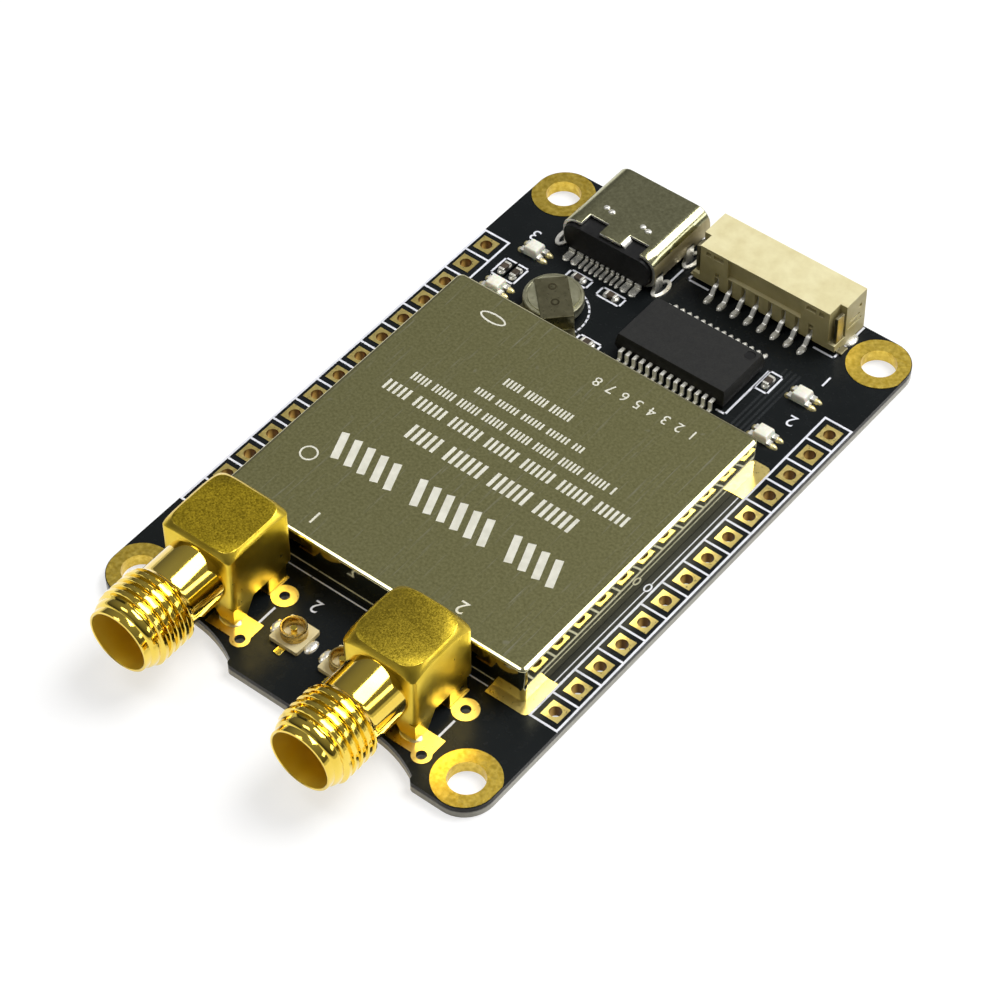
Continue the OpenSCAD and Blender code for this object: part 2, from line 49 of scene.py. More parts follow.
def box_mm(node):
    """Lowest and highest corner of a CAD node in millimetres."""
    low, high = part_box(node)
    return Vector(low) / MM, Vector(high) / MM


def middle_of(low, high):
    """Middle of a box in plan."""
    return (low.x + high.x) / 2, (low.y + high.y) / 2


BOARD_LOW, BOARD_HIGH = box_mm("board")
TOP = BOARD_HIGH.z
HALF_W = BOARD_HIGH.x
PAD_TOP = box_mm("row_eyelets_left")[1].z
CAN_LOW, CAN_HIGH = box_mm("shield_can")
CAN_TOP = CAN_HIGH.z


# Materials

# Stretch of a noise's values that colours and gloss are spread over
NOISE_LOW, NOISE_HIGH = 0.3, 0.7
PATCH_DETAIL, GRAIN_DETAIL = 3.0, 5.0
# Colour sockets of a mix node
MIX_FIRST, MIX_SECOND, MIX_RESULT = 6, 7, 2
# Shares of the board's thickness between which the painted floor light on its cut edge, a pale band, turns
# into the dark skin
FLOOR_LIGHT_END, SKIN_START = 0.46, 0.64
# Way that the painted lit side of a plated hole faces
PAINTED_LIGHT_WAY = (0.775, 0.632, 0)


def linear(red, green, blue):
    """Linear colour of an sRGB colour given in 0 to 255."""
    parts = []
    for value in (red, green, blue):
        v = value / 255
        parts.append(v / 12.92 if v <= 0.04045 else ((v + 0.055) / 1.055) ** 2.4)
    return (*parts, 1.0)


def grey(value):
    """Opaque grey of a linear brightness."""
    return (value, value, value, 1.0)


def add_noise(tree, scale, detail=4.0, stretch=(1, 1, 1), turn=0.0):
    """Noise in object space, with features of about 1/scale metres, turned by degrees about Z."""
    coords = tree.nodes.new("ShaderNodeTexCoord")
    mapping = tree.nodes.new("ShaderNodeMapping")
    mapping.inputs["Scale"].default_value = stretch
    mapping.inputs["Rotation"].default_value = (0, 0, math.radians(turn))
    noise = tree.nodes.new("ShaderNodeTexNoise")
    noise.inputs["Scale"].default_value = scale
    noise.inputs["Detail"].default_value = detail
    tree.links.new(coords.outputs["Object"], mapping.inputs["Vector"])
    tree.links.new(mapping.outputs["Vector"], noise.inputs["Vector"])
    return noise.outputs["Fac"]


def add_ramp(tree, source, stops):
    """Colour ramp over a value, from (place, colour) stops."""
    ramp = tree.nodes.new("ShaderNodeValToRGB")
    elements = ramp.color_ramp.elements
    while len(elements) < len(stops):
        elements.new(0.5)
    for element, (place, colour) in zip(elements, stops):
        element.position = place
        element.color = colour
    tree.links.new(source, ramp.inputs["Fac"])
    return ramp.outputs["Color"]


def add_range(tree, source, low, high):
    """A noise value spread over low to high."""
    node = tree.nodes.new("ShaderNodeMapRange")
    node.inputs["From Min"].default_value = NOISE_LOW
    node.inputs["From Max"].default_value = NOISE_HIGH
    node.inputs["To Min"].default_value = low
    node.inputs["To Max"].default_value = high
    tree.links.new(source, node.inputs["Value"])
    return node.outputs["Result"]


def add_bump(tree, source, distance):
    """Relief of that many millimetres."""
    node = tree.nodes.new("ShaderNodeBump")
    node.inputs["Strength"].default_value = 1.0
    node.inputs["Distance"].default_value = distance * MM
    tree.links.new(source, node.inputs["Height"])
    return node.outputs["Normal"]


def add_math(tree, operation, *values):
    """Result of a math node over sockets and plain numbers."""
    node = tree.nodes.new("ShaderNodeMath")
    node.operation = operation
    for socket, value in zip(node.inputs, values):
        if isinstance(value, float):
            socket.default_value = value
        else:
            tree.links.new(value, socket)
    return node.outputs["Value"]


def add_axes(tree, vector):
    """X, Y and Z outputs of a vector socket."""
    axes = tree.nodes.new("ShaderNodeSeparateXYZ")
    tree.links.new(vector, axes.inputs["Vector"])
    return axes.outputs


def drift(tree, dark, light, scale=900, detail=4.0, stretch=(1, 1, 1)):
    """Colour that drifts between two in patches of about 1/scale metres."""
    patches = add_noise(tree, scale, detail, stretch)
    return add_ramp(tree, patches, [(NOISE_LOW, linear(*dark)), (NOISE_HIGH, linear(*light))])


def surface(name, dark, light, rough, metallic=0.0, patch=400, grain=4000, relief=0.003, **sockets):
    """Material whose colour drifts in patches and whose gloss and relief follow a finer grain."""
    material = bpy.data.materials.new(name)
    material.use_nodes = True
    tree = material.node_tree
    shader = tree.nodes["Principled BSDF"]
    fine = add_noise(tree, grain, GRAIN_DETAIL)
    tree.links.new(drift(tree, dark, light, patch, PATCH_DETAIL), shader.inputs["Base Color"])
    tree.links.new(add_range(tree, fine, *rough), shader.inputs["Roughness"])
    if relief:
        tree.links.new(add_bump(tree, fine, relief), shader.inputs["Normal"])
    shader.inputs["Metallic"].default_value = metallic
    for socket, value in sockets.items():
        shader.inputs[socket.replace("_", " ")].default_value = value
    return material


def mix_colours(tree, factor, first, second):
    """Blend of two colour sockets by a factor socket."""
    mix = tree.nodes.new("ShaderNodeMix")
    mix.data_type = "RGBA"
    tree.links.new(factor, mix.inputs["Factor"])
    tree.links.new(first, mix.inputs[MIX_FIRST])
    tree.links.new(second, mix.inputs[MIX_SECOND])
    return mix.outputs[MIX_RESULT]


def base_colour(material):
    """Socket that feeds a material's colour."""
    return material.node_tree.nodes["Principled BSDF"].inputs["Base Color"].links[0].from_socket


def recolour(material, colour):
    """Feeds a material's colour from another socket."""
    tree = material.node_tree
    tree.links.new(colour, tree.nodes["Principled BSDF"].inputs["Base Color"])


def side_colour(material, sides):
    """Another colour on the upright faces than on the level ones."""
    tree = material.node_tree
    geometry = tree.nodes.new("ShaderNodeNewGeometry")
    levelness = add_math(tree, "ABSOLUTE", add_axes(tree, geometry.outputs["True Normal"])["Z"])
    recolour(material, mix_colours(tree, levelness, sides, base_colour(material)))
    return material


def board_material():
    """Dark mask on the faces; the cut edge is dark under the mask, with painted floor light as a pale band
    below.
    """
    material = surface("board_mask", (21, 24, 25), (29, 32, 33), (0.2, 0.3), patch=120, grain=1600,
                       relief=0.002, Specular_IOR_Level=0.12)
    tree = material.node_tree
    coords = tree.nodes.new("ShaderNodeTexCoord")
    height = tree.nodes.new("ShaderNodeMapRange")
    height.inputs["From Max"].default_value = TOP * MM
    tree.links.new(add_axes(tree, coords.outputs["Object"])["Z"], height.inputs["Value"])
    layer = add_ramp(tree, height.outputs["Result"], [(FLOOR_LIGHT_END, grey(0)), (SKIN_START, grey(1))])
    fibres = (1, 1, 6)
    # Painted floor light: the pale band on the lower part of the cut edge
    painted_floor_light = drift(tree, (196, 192, 178), (214, 210, 198), stretch=fibres)
    skin = drift(tree, (34, 34, 32), (62, 60, 56), stretch=fibres)
    return side_colour(material, mix_colours(tree, layer, painted_floor_light, skin))


def pad_material():
    """Gold plating with painted shade in the holes, browner and darkest on one side of them, and a painted
    lit side on the other.
    """
    material = surface("gold_pad", (234, 210, 126), (250, 228, 146), (0.26, 0.38), 1.0)
    tree = material.node_tree
    geometry = tree.nodes.new("ShaderNodeNewGeometry")
    facing = tree.nodes.new("ShaderNodeVectorMath")
    facing.operation = "DOT_PRODUCT"
    facing.inputs[1].default_value = PAINTED_LIGHT_WAY
    tree.links.new(geometry.outputs["True Normal"], facing.inputs[0])
    # Upright faces get painted shade, with a painted lit side on the walls that face one way
    shade = add_ramp(tree, facing.outputs["Value"], [(0.0, grey(0)), (0.8, grey(1))])
    painted_shade = drift(tree, (74, 50, 20), (96, 68, 28))
    bright = drift(tree, (206, 160, 74), (226, 182, 92))
    return side_colour(material, mix_colours(tree, shade, painted_shade, bright))


def cream_material():
    """Cream plastic with painted shade, a darker cream, on its upright faces."""
    material = surface("cream_plastic", (224, 212, 160), (238, 229, 182), (0.36, 0.5), patch=900, grain=2600,
                       relief=0.004)
    # The darker cream on the upright faces is painted shade
    return side_colour(material, drift(material.node_tree, (182, 170, 116), (196, 184, 130)))


def can_material():
    """Satin sheet with a fine speckled grain, worn spots and short bright scratches three ways."""
    material = surface("can_skin", (178, 174, 118), (210, 206, 148), (0.13, 0.21), 1.0, patch=4600,
                       grain=7000, relief=0.0016)
    tree = material.node_tree
    bright = drift(tree, (226, 224, 190), (246, 244, 224), scale=700)
    for turn, squeeze in ((25, 0.03), (68, 0.05), (115, 0.04)):
        streaks = add_noise(tree, 5200, 2.0, (1, squeeze, 1), turn)
        scratches = add_ramp(tree, streaks, [(0.66, grey(0)), (0.82, grey(0.7))])
        recolour(material, mix_colours(tree, scratches, base_colour(material), bright))
    spots = add_ramp(tree, add_noise(tree, 900, 1.0), [(0.76, grey(0)), (0.84, grey(0.5))])
    recolour(material, mix_colours(tree, spots, base_colour(material), bright))
    return material


MASK = board_material()
GOLD_PAD = pad_material()
GOLD_RING = surface("gold_ring", (204, 171, 60), (240, 211, 98), (0.28, 0.4), 1.0, patch=3000, relief=0.004)
DULL_GOLD = surface("dull_gold", (190, 164, 98), (210, 184, 116), (0.2, 0.32), 1.0, patch=900, relief=0.002)
CAN_SKIN = can_material()
CAN_WALL = surface("can_wall", (198, 192, 150), (214, 208, 166), (0.05, 0.1), 1.0, patch=160, relief=0.0006)
SHEET = surface("plug_sheet", (160, 158, 122), (188, 186, 148), (0.14, 0.22), 1.0, patch=4200, relief=0.001)
SHEET_SIDE = surface("plug_side", (162, 151, 114), (180, 168, 130), (0.4, 0.55), 0.85, patch=700,
                     relief=0.004)
# A whiter copy of the plug's sheet, painted highlight on the shell's cut edges, pressed marks, flap and
# stakes; on the lamps' bases it is their tinned metal
SHEET_TAB = surface("plug_tab", (232, 230, 220), (246, 244, 236), (0.25, 0.4), 0.7, patch=900, relief=0.002)
BLACK = surface("black_plastic", (8, 8, 9), (15, 15, 16), (0.4, 0.55), patch=900,
                Specular_IOR_Level=0.3)
EPOXY = surface("chip_epoxy", (15, 15, 14), (25, 25, 23), (0.5, 0.66), patch=2600, grain=9000, relief=0.008,
                Specular_IOR_Level=0.38)
LID = surface("inner_lid", (172, 168, 152), (196, 192, 176), (0.2, 0.32), 1.0, relief=0.002)
COIL = surface("coil_block", (70, 66, 60), (92, 88, 82), (0.55, 0.7), grain=6000, relief=0.01)
CERAMIC = surface("part_ceramic", (50, 42, 36), (92, 78, 62), (0.3, 0.45), patch=700, relief=0.004)
TIN = surface("tinned_metal", (222, 220, 209), (242, 240, 231), (0.2, 0.36), 0.5, patch=900)
LEAD = surface("chip_lead", (236, 234, 224), (250, 248, 240), (0.24, 0.4), 0.25, patch=900)
CREAM = cream_material()
CELL = surface("cell_steel", (156, 154, 126), (178, 176, 148), (0.34, 0.46), 1.0, patch=1400, relief=0.002)
CELL_STRIP = surface("cell_strip", (114, 110, 84), (134, 130, 102), (0.26, 0.38), 1.0, patch=1400)
WELD = surface("cell_weld", (62, 58, 42), (88, 83, 62), (0.4, 0.55), 1.0, relief=0.006)
RESIN = surface("lamp_resin", (244, 241, 222), (252, 250, 238), (0.2, 0.32), patch=1600,
                Subsurface_Weight=0.2, Subsurface_Scale=0.0004)
GOLD = surface("socket_gold", (234, 200, 64), (248, 218, 86), (0.06, 0.12), 1.0, patch=240, relief=0.0006,
               Coat_Weight=1.0, Coat_IOR=1.45, Coat_Roughness=0.06)
GOLD_SIDE = surface("socket_side", (222, 190, 56), (240, 210, 78), (0.27, 0.36), 1.0, patch=500, grain=1200,
                    relief=0)
GOLD_TOP = surface("socket_top", (152, 131, 32), (202, 177, 58), (0.36, 0.52), 1.0, patch=8000, grain=8000,
                   relief=0.014)
# Painted shade: a darker copy of the blasted top, for the left socket
SHADED_TOP = surface("socket_top_painted_shade", (132, 113, 22), (180, 156, 42), (0.36, 0.52), 1.0, patch=8000,
                   grain=8000, relief=0.014)
# Painted light: a brighter, partly diffuse copy of the socket gold for the inside of the mouth, which lifts
# its shade
GOLD_BORE = surface("socket_bore", (246, 214, 62), (254, 228, 86), (0.3, 0.42), 0.6, relief=0.002)
AMBER = surface("socket_insulator", (200, 168, 62), (220, 188, 84), (0.3, 0.44),
                Subsurface_Weight=0.15, Subsurface_Scale=0.001)
SMALL_BASE = surface("small_base", (212, 198, 150), (228, 214, 168), (0.35, 0.5), patch=800)
PRINT = surface("white_print", (222, 224, 232), (244, 245, 252), (0.5, 0.62), patch=1400, grain=7000)
CAN_PRINT = surface("can_print", (214, 212, 196), (232, 230, 216), (0.5, 0.62), patch=1400, grain=7000,
                    relief=0.002)
TAB = surface("socket_tab", (118, 112, 88), (150, 143, 114), (0.3, 0.45), 1.0, patch=900)
SOLDER = surface("solder", (232, 218, 158), (248, 236, 184), (0.3, 0.44), 0.8, patch=900, relief=0.004)
TRACE = surface("trace_mask", (24, 28, 30), (32, 36, 38), (0.2, 0.3), patch=600, relief=0.002)


# Mesh helpers, all in millimetres

# Height of printed marks, and of lines that cross others, so that no two faces coincide
INK, CROSS_INK = 0.012, 0.015


def rounded_rect(width, length, radius, steps=8):
    """Outline of a rounded rectangle about the origin, anticlockwise."""
    points = []
    for k, (sx, sy) in enumerate(((1, 1), (-1, 1), (-1, -1), (1, -1))):
        for i in range(steps + 1):
            a = math.pi / 2 * (k + i / steps)
            points.append((sx * (width / 2 - radius) + radius * math.cos(a),
                           sy * (length / 2 - radius) + radius * math.sin(a)))
    return points


def rectangle(x0, x1, y0, y1):
    """Outline of a plain rectangle, anticlockwise."""
    return [(x0, y0), (x1, y0), (x1, y1), (x0, y1)]


def squircle(half, power, steps=160):
    """Superellipse outline: power 2 is a circle, a high power a square with tight corners."""
    points = []
    for i in range(steps):
        a = 2 * math.pi * i / steps
        c, s = math.cos(a), math.sin(a)
        r = half / (abs(c) ** power + abs(s) ** power) ** (1 / power)
        points.append((r * c, r * s))
    return points


def circle(radius, steps=48):
    """Outline of a circle about the origin, anticlockwise."""
    return [(radius * math.cos(2 * math.pi * i / steps), radius * math.sin(2 * math.pi * i / steps))
            for i in range(steps)]


def level(points, at, z, scale=1.0):
    """An outline laid flat at a height."""
    return [(at[0] + scale * x, at[1] + scale * y, z) for x, y in points]


def loft(bm, loops, wrap=False):
    """Skin through loops of equal length, with flat caps at the ends or joined end to start."""
    rings = [[bm.verts.new(p) for p in loop] for loop in loops]
    pairs = list(zip(rings, rings[1:]))
    if wrap:
        pairs.append((rings[-1], rings[0]))
    count = len(rings[0])
    for a, b in pairs:
        for i in range(count):
            j = (i + 1) % count
            bm.faces.new((a[i], a[j], b[j], b[i]))
    if not wrap:
        bm.faces.new(rings[0][::-1])
        bm.faces.new(rings[-1])


def turned(bm, profile, at, steps=48, wrap=False):
    """Upright lathe form from (radius, height) points."""
    loft(bm, [level(circle(r, steps), at, at[2] + h) for r, h in profile], wrap=wrap)


def brick(bm, x0, x1, y0, y1, z0, z1, edge=0.0):
    """Box, with softened edges where an edge width is given."""
    half_x, half_y = (x1 - x0) / 2, (y1 - y0) / 2
    at = ((x0 + x1) / 2, (y0 + y1) / 2)
    plan = [(half_x, half_y), (-half_x, half_y), (-half_x, -half_y), (half_x, -half_y)]
    start = len(bm.faces)
    loft(bm, [level(plan, at, z) for z in (z0, z1)])
    if edge:
        bm.faces.ensure_lookup_table()
        edges = {e for f in bm.faces[start:] for e in f.edges}
        bmesh.ops.bevel(bm, geom=list(edges), offset=edge, segments=2, affect="EDGES", clamp_overlap=True)


def strip(bm, x0, y0, x1, y1, width, z, thick=INK):
    """Thin printed or plated line between two points."""
    run = Vector((x1 - x0, y1 - y0))
    along = run.normalized() * (width / 2)
    side = Vector((-along.y, along.x))
    a, b = Vector((x0, y0)) - along, Vector((x1, y1)) + along
    ends = [a - side, b - side, b + side, a + side]
    loft(bm, [[(p.x, p.y, z + h) for p in ends] for h in (0, thick)])


def frame_lines(bm, x0, x1, y0, y1, width, z):
    """Rectangle drawn with four printed lines."""
    corners = rectangle(x0, x1, y0, y1)
    for a, b in zip(corners, corners[1:] + corners[:1]):
        strip(bm, *a, *b, width, z)


def ring_line(bm, x, y, radius_x, radius_y, width, z, thick=INK, steps=40):
    """Printed oval line."""
    inner = [(c * (radius_x - width / 2), s * (radius_y - width / 2)) for c, s in circle(1, steps)]
    outer = [(c * (radius_x + width / 2), s * (radius_y + width / 2)) for c, s in circle(1, steps)]
    section = ((inner, z), (outer, z), (outer, z + thick), (inner, z + thick))
    loft(bm, [level(outline, (x, y), height) for outline, height in section], wrap=True)


def blob(bm, x, y, z, radius_x, radius_y, height, steps=14, layers=5):
    """Low rounded heap of solder."""
    loops = []
    for k in range(layers):
        a = math.pi / 2 * k / layers
        ring = [(c * radius_x * math.cos(a), s * radius_y * math.cos(a)) for c, s in circle(1, steps)]
        loops.append(level(ring, (x, y), z + height * math.sin(a)))
    loft(bm, loops)


def ribbon(bm, path, thick, start, end, place):
    """Bent flat strip: a path of (p, q) points with a thickness, drawn out from start to end by place."""
    left, right = [], []
    for k, here in enumerate(path):
        before, after = Vector(path[max(k - 1, 0)]), Vector(path[min(k + 1, len(path) - 1)])
        run = (after - before).normalized() * (thick / 2)
        left.append((here[0] - run.y, here[1] + run.x))
        right.append((here[0] + run.y, here[1] - run.x))
    outline = left + right[::-1]
    loft(bm, [[place(along, p, q) for p, q in outline] for along in (start, end)])


def add_object(name, data):
    """New object in the scene."""
    obj = bpy.data.objects.new(name, data)
    bpy.context.collection.objects.link(obj)
    return obj


def carved(block, cuts):
    """Mesh of a box with boxes cut out of it, each given as (x0, x1, y0, y1, z0, z1)."""
    made = []
    for box in (block, *cuts):
        bm = bmesh.new()
        brick(bm, *box)
        bmesh.ops.recalc_face_normals(bm, faces=bm.faces[:])
        mesh = bpy.data.meshes.new("box")
        bm.to_mesh(mesh)
        bm.free()
        made.append(add_object("box", mesh))
    for cutter in made[1:]:
        cut = made[0].modifiers.new("cut", "BOOLEAN")
        cut.operation = "DIFFERENCE"
        cut.solver = "EXACT"
        cut.object = cutter
    graph = bpy.context.evaluated_depsgraph_get()
    result = bpy.data.meshes.new_from_object(made[0].evaluated_get(graph))
    bm = bmesh.new()
    bm.from_mesh(result)
    bpy.data.meshes.remove(result)
    for obj in made:
        mesh = obj.data
        bpy.data.objects.remove(obj)
        bpy.data.meshes.remove(mesh)
    return bm


def figure(bm, text, x, y, z, size):
    """Printed digits about a point, to be read from the far end."""
    curve = bpy.data.curves.new("figure", "FONT")
    curve.body = text
    curve.size = size
    curve.align_x = "CENTER"
    curve.align_y = "CENTER"
    curve.extrude = INK / 2
    holder = add_object("figure", curve)
    graph = bpy.context.evaluated_depsgraph_get()
    mesh = bpy.data.meshes.new_from_object(holder.evaluated_get(graph))
    turning = Euler((0, 0, math.pi)).to_matrix()
    start = len(bm.verts)
    bm.from_mesh(mesh)
    bm.verts.ensure_lookup_table()
    for vert in bm.verts[start:]:
        vert.co = turning @ vert.co + Vector((x, y, z + INK / 2))
    bpy.data.objects.remove(holder)
    bpy.data.curves.remove(curve)
    bpy.data.meshes.remove(mesh)


def piece(name, bm, slot, *materials, sharp=35, replaces=()):
    """Turns a mesh in millimetres into a piece of the object."""
    bmesh.ops.recalc_face_normals(bm, faces=bm.faces[:])
    bmesh.ops.scale(bm, vec=(MM, MM, MM), verts=bm.verts[:])
    mesh = bpy.data.meshes.new(name)
    bm.to_mesh(mesh)
    bm.free()
    for material in materials:
        mesh.materials.append(material)
    mesh.shade_smooth()
    mesh.set_sharp_from_angle(angle=math.radians(sharp))
    obj = add_object(name, mesh)
    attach(obj, "root")
    if replaces:
        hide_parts(*replaces)
    return obj


def soften(obj, width):
    """Rounds an object's sharp edges by modifiers, its own mesh stays as it is."""
    weld = obj.modifiers.new("weld", "WELD")
    weld.merge_threshold = 1e-6
    flat = obj.modifiers.new("flat", "DECIMATE")
    flat.decimate_type = "DISSOLVE"
    flat.angle_limit = math.radians(1)
    bevel = obj.modifiers.new("edges", "BEVEL")
    bevel.width = width * MM
    bevel.segments = 2
    bevel.limit_method = "ANGLE"
    bevel.angle_limit = math.radians(40)
    bevel.harden_normals = True


def islands(node):
    """Boxes of a CAD node's separate solids, in millimetres."""
    bm = bmesh.new()
    bm.from_mesh(NODES[node].data)
    bmesh.ops.remove_doubles(bm, verts=bm.verts[:], dist=1e-7)
    left = set(bm.verts)
    boxes = []
    while left:
        grown = [left.pop()]
        found = []
        while grown:
            vert = grown.pop()
            found.append(vert.co / MM)
            for edge in vert.link_edges:
                other = edge.other_vert(vert)
                if other in left:
                    left.remove(other)
                    grown.append(other)
        boxes.append((Vector([min(p[k] for p in found) for k in range(3)]),
                      Vector([max(p[k] for p in found) for k in range(3)])))
    bm.free()
    return sorted(boxes, key=lambda box: (round(box[0].x, 3), round(box[0].y, 3)))


# CAD nodes that keep their shape: material, and width of the softened edges

KEPT = {
    "board": (MASK, 0), "mount_eyelets": (GOLD_RING, 0), "row_eyelets_left": (GOLD_PAD, 0),
    "row_eyelets_right": (GOLD_PAD, 0), "ground_pads": (GOLD_PAD, 0),
    "receiver_chip": (EPOXY, 0), "memory_chip": (EPOXY, 0), "regulator_chip": (EPOXY, 0),
    "clock_oscillator": (LID, 0), "band_filters": (LID, 0), "power_coil": (COIL, 0),
    "inner_capacitors": (CERAMIC, 0), "plug_insulator": (BLACK, 0.05), "plug_contacts": (TIN, 0.02),
    "wire_tabs": (TAB, 0.05), "interface_leads": (LEAD, 0.04), "cell_strip": (CELL_STRIP, 0.07),
    "cell_foot": (CELL_STRIP, 0.04), "chip_parts": (CERAMIC, 0.03), "chip_caps": (TIN, 0.04),
    "small_bases": (SMALL_BASE, 0.05), "small_pins": (GOLD, 0.02),
    "antenna_left_insulator": (AMBER, 0), "antenna_left_contact": (GOLD, 0),
    "antenna_right_insulator": (AMBER, 0), "antenna_right_contact": (GOLD, 0),
}
for node_name, (node_material, edge_width) in KEPT.items():
    slots = NODES[node_name].data.materials
    slots.clear()
    slots.append(node_material)
    if edge_width:
        soften(NODES[node_name], edge_width)


# Antenna sockets

NECK_R, NECK_L = 2.7, 3.4
CREST_R, THREAD_L, PITCH, THREAD_DEPTH = 3.175, 3.6, 0.7056, 0.32
# Half widths of the thread groove's floor and of its open top, as shares of the pitch
GROOVE_FLOOR, GROOVE_OPEN = 0.05, 0.3
# Height over the neck from which the thread runs in
RUN_IN = 0.05
# The lip in front of the thread as (distance from the mouth, radius): a rounded bead and a slim collar
LIP_L = 1.2
LIP = ((1.1, 2.93), (0.98, 2.925), (0.86, 2.9), (0.76, 2.86), (0.67, 2.8), (0.61, 2.73), (0.57, 2.66),
       (0.1, 2.65), (0.03, 2.62), (0.0, 2.57))
MOUTH_R, MOUTH_L, BORE_R = 2.42, 4.0, 2.06
# The rounded edge of the mouth as (distance from the mouth, added radius)
MOUTH_EDGE = ((0.0, 0.05), (0.03, 0.01), (0.08, 0.0))
BARREL_STEPS, THREAD_ROWS = 72, 104

BLOCK_POWER, FLAT_HALF = 14, 2.95
# Height of the block's underside over the board, and shares of the outline under it and round its top
UNDER, UNDER_SHARE, TUCK_SHARE = 1.4, 0.965, 0.985
LEG_W, LEG_TAPER, FOOT_L, FOOT_BACK = 1.3, 0.9, 2.0, 0.75
# The pins under the legs as (radius, height)
PIN = ((0.25, 0.0), (0.45, 0.15), (0.45, PAD_TOP + 0.2))
# Slots of a body's materials after that of its barrel, and limits that sort its faces into them
TOP_FACE, BORE_FACE, SIDE_FACE = 1, 2, 3
LEVEL_NORMAL, BORE_MARGIN, BORE_PAST, LEG_MARGIN = 0.97, 0.02, 0.22, 0.2


def barrel(bm, x, z, front):
    """Neck, helical thread, lip and open mouth along -Y, as one closed skin."""
    inside = front + 0.3
    thread_start = front - NECK_L
    mouth = thread_start - THREAD_L - LIP_L

    def hoop(radius, y):
        """Circle round the barrel's axis."""
        return [(x + radius * c, y, z + radius * s) for c, s in circle(1, BARREL_STEPS)]

    loops = [hoop(NECK_R, inside), hoop(NECK_R, front + 0.02), hoop(NECK_R, thread_start + 0.25),
             hoop(NECK_R + 0.03, thread_start + 0.06)]
    for row in range(THREAD_ROWS + 1):
        run = THREAD_L * row / THREAD_ROWS
        loop = []
        for i, (c, s) in enumerate(circle(1, BARREL_STEPS)):
            phase = (run / PITCH + i / BARREL_STEPS) % 1
            rise = (min(phase, 1 - phase) - GROOVE_FLOOR) / (GROOVE_OPEN - GROOVE_FLOOR)
            rise = min(1.0, max(0.0, rise))
            radius = CREST_R - THREAD_DEPTH * (1 - rise * rise * (3 - 2 * rise))
            radius = min(radius, NECK_R + RUN_IN + run, LIP[0][1] + THREAD_L - run)
            loop.append((x + radius * c, thread_start - run, z + radius * s))
        loops.append(loop)
    loops += [hoop(radius, mouth + back) for back, radius in LIP]
    loops += [hoop(MOUTH_R + added, mouth + back) for back, added in MOUTH_EDGE]
    loops += [hoop(MOUTH_R, mouth + MOUTH_L), hoop(BORE_R, mouth + MOUTH_L), hoop(BORE_R, inside)]
    loft(bm, loops, wrap=True)


def antenna_block(bm, at, half, under, top, flat_power, fall, slope):
    """Milled block with a flat top whose edge falls away to the sides."""
    outline = squircle(half, BLOCK_POWER)
    crown = squircle(FLAT_HALF, flat_power)
    shoulder = []
    for (px, py), (qx, qy) in zip(outline, crown):
        drop = fall + slope * (math.hypot(px, py) - math.hypot(qx, qy))
        shoulder.append((at[0] + px, at[1] + py, top - drop))
    low_shoulder = [(px, py, pz - 0.08) for px, py, pz in shoulder]
    tucked = [(at[0] + (px - at[0]) * TUCK_SHARE, at[1] + (py - at[1]) * TUCK_SHARE, pz + 0.02)
              for px, py, pz in shoulder]
    loft(bm, [level(outline, at, under, UNDER_SHARE), level(outline, at, under + 0.12), low_shoulder,
              tucked, level(crown, at, top - 0.03), level(crown, at, top, TUCK_SHARE)])


def antenna_legs(bm, at, half, under):
    """Two tapered front legs and two rear feet, with their pins."""
    front, back = at[1] - half, at[1] + half - FOOT_BACK
    for s in (-1, 1):
        x_out, x_in = at[0] + s * half, at[0] + s * (half - LEG_W)
        left, right = sorted((x_out, x_in))
        foot = rectangle(left, right, front, front + LEG_W)
        head = rectangle(*sorted((x_out, x_in - s * LEG_TAPER)), front, front + LEG_W + LEG_TAPER)
        loft(bm, [level(foot, (0, 0), PAD_TOP), level(head, (0, 0), under + 0.15)])
        brick(bm, left + 0.03, right - 0.03, back - FOOT_L, back, PAD_TOP, under + 0.1, edge=0.06)
        for y in (front + LEG_W / 2, back - FOOT_L / 2):
            turned(bm, PIN, (at[0] + s * (half - LEG_W / 2), y, BOARD_LOW.z), 24)


def antenna_body(side, top_material, flat_power, fall, slope):
    """Socket body: a block with a blasted top, a turned barrel and legs."""
    node = f"antenna_{side}_body"
    low, high = box_mm(node)
    half = (high.x - low.x) / 2
    at = ((low.x + high.x) / 2, high.y - half)
    axis_z = high.z - half
    front = at[1] - half
    under = TOP + UNDER
    bm = bmesh.new()
    antenna_block(bm, at, half, under, high.z, flat_power, fall, slope)
    for face in bm.faces:
        face.normal_update()
        blasted = abs(face.normal.z) > LEVEL_NORMAL and face.calc_center_median().z > axis_z
        face.material_index = TOP_FACE if blasted else SIDE_FACE
    barrel(bm, at[0], axis_z, front)
    for face in bm.faces:
        middle = face.calc_center_median()
        reach = math.hypot(middle.x - at[0], middle.z - axis_z)
        if BORE_MARGIN < middle.y - low.y < MOUTH_L + BORE_PAST and reach < MOUTH_R + BORE_MARGIN:
            face.material_index = BORE_FACE
    antenna_legs(bm, at, half, under)
    for face in bm.faces:
        middle = face.calc_center_median()
        if middle.z < under + LEG_MARGIN and middle.y > front - BORE_MARGIN / 2:
            face.material_index = SIDE_FACE
    piece(node + "_shape", bm, "socket_gold", GOLD, top_material, GOLD_BORE, GOLD_SIDE, sharp=32,
          replaces=(node,))


# The left socket's top takes the copy with painted shade
antenna_body("left", SHADED_TOP, flat_power=6, fall=0.1, slope=0.6)
antenna_body("right", GOLD_TOP, flat_power=4, fall=0.15, slope=0.75)


# Shield can

# Stretches of the can's folded edge, from the top outwards: length, and lean from level at both ends
FOLD = ((0.1, 0, 18), (0.19, 18, 26), (0.14, 26, 90))
FOLD_STEPS = 4
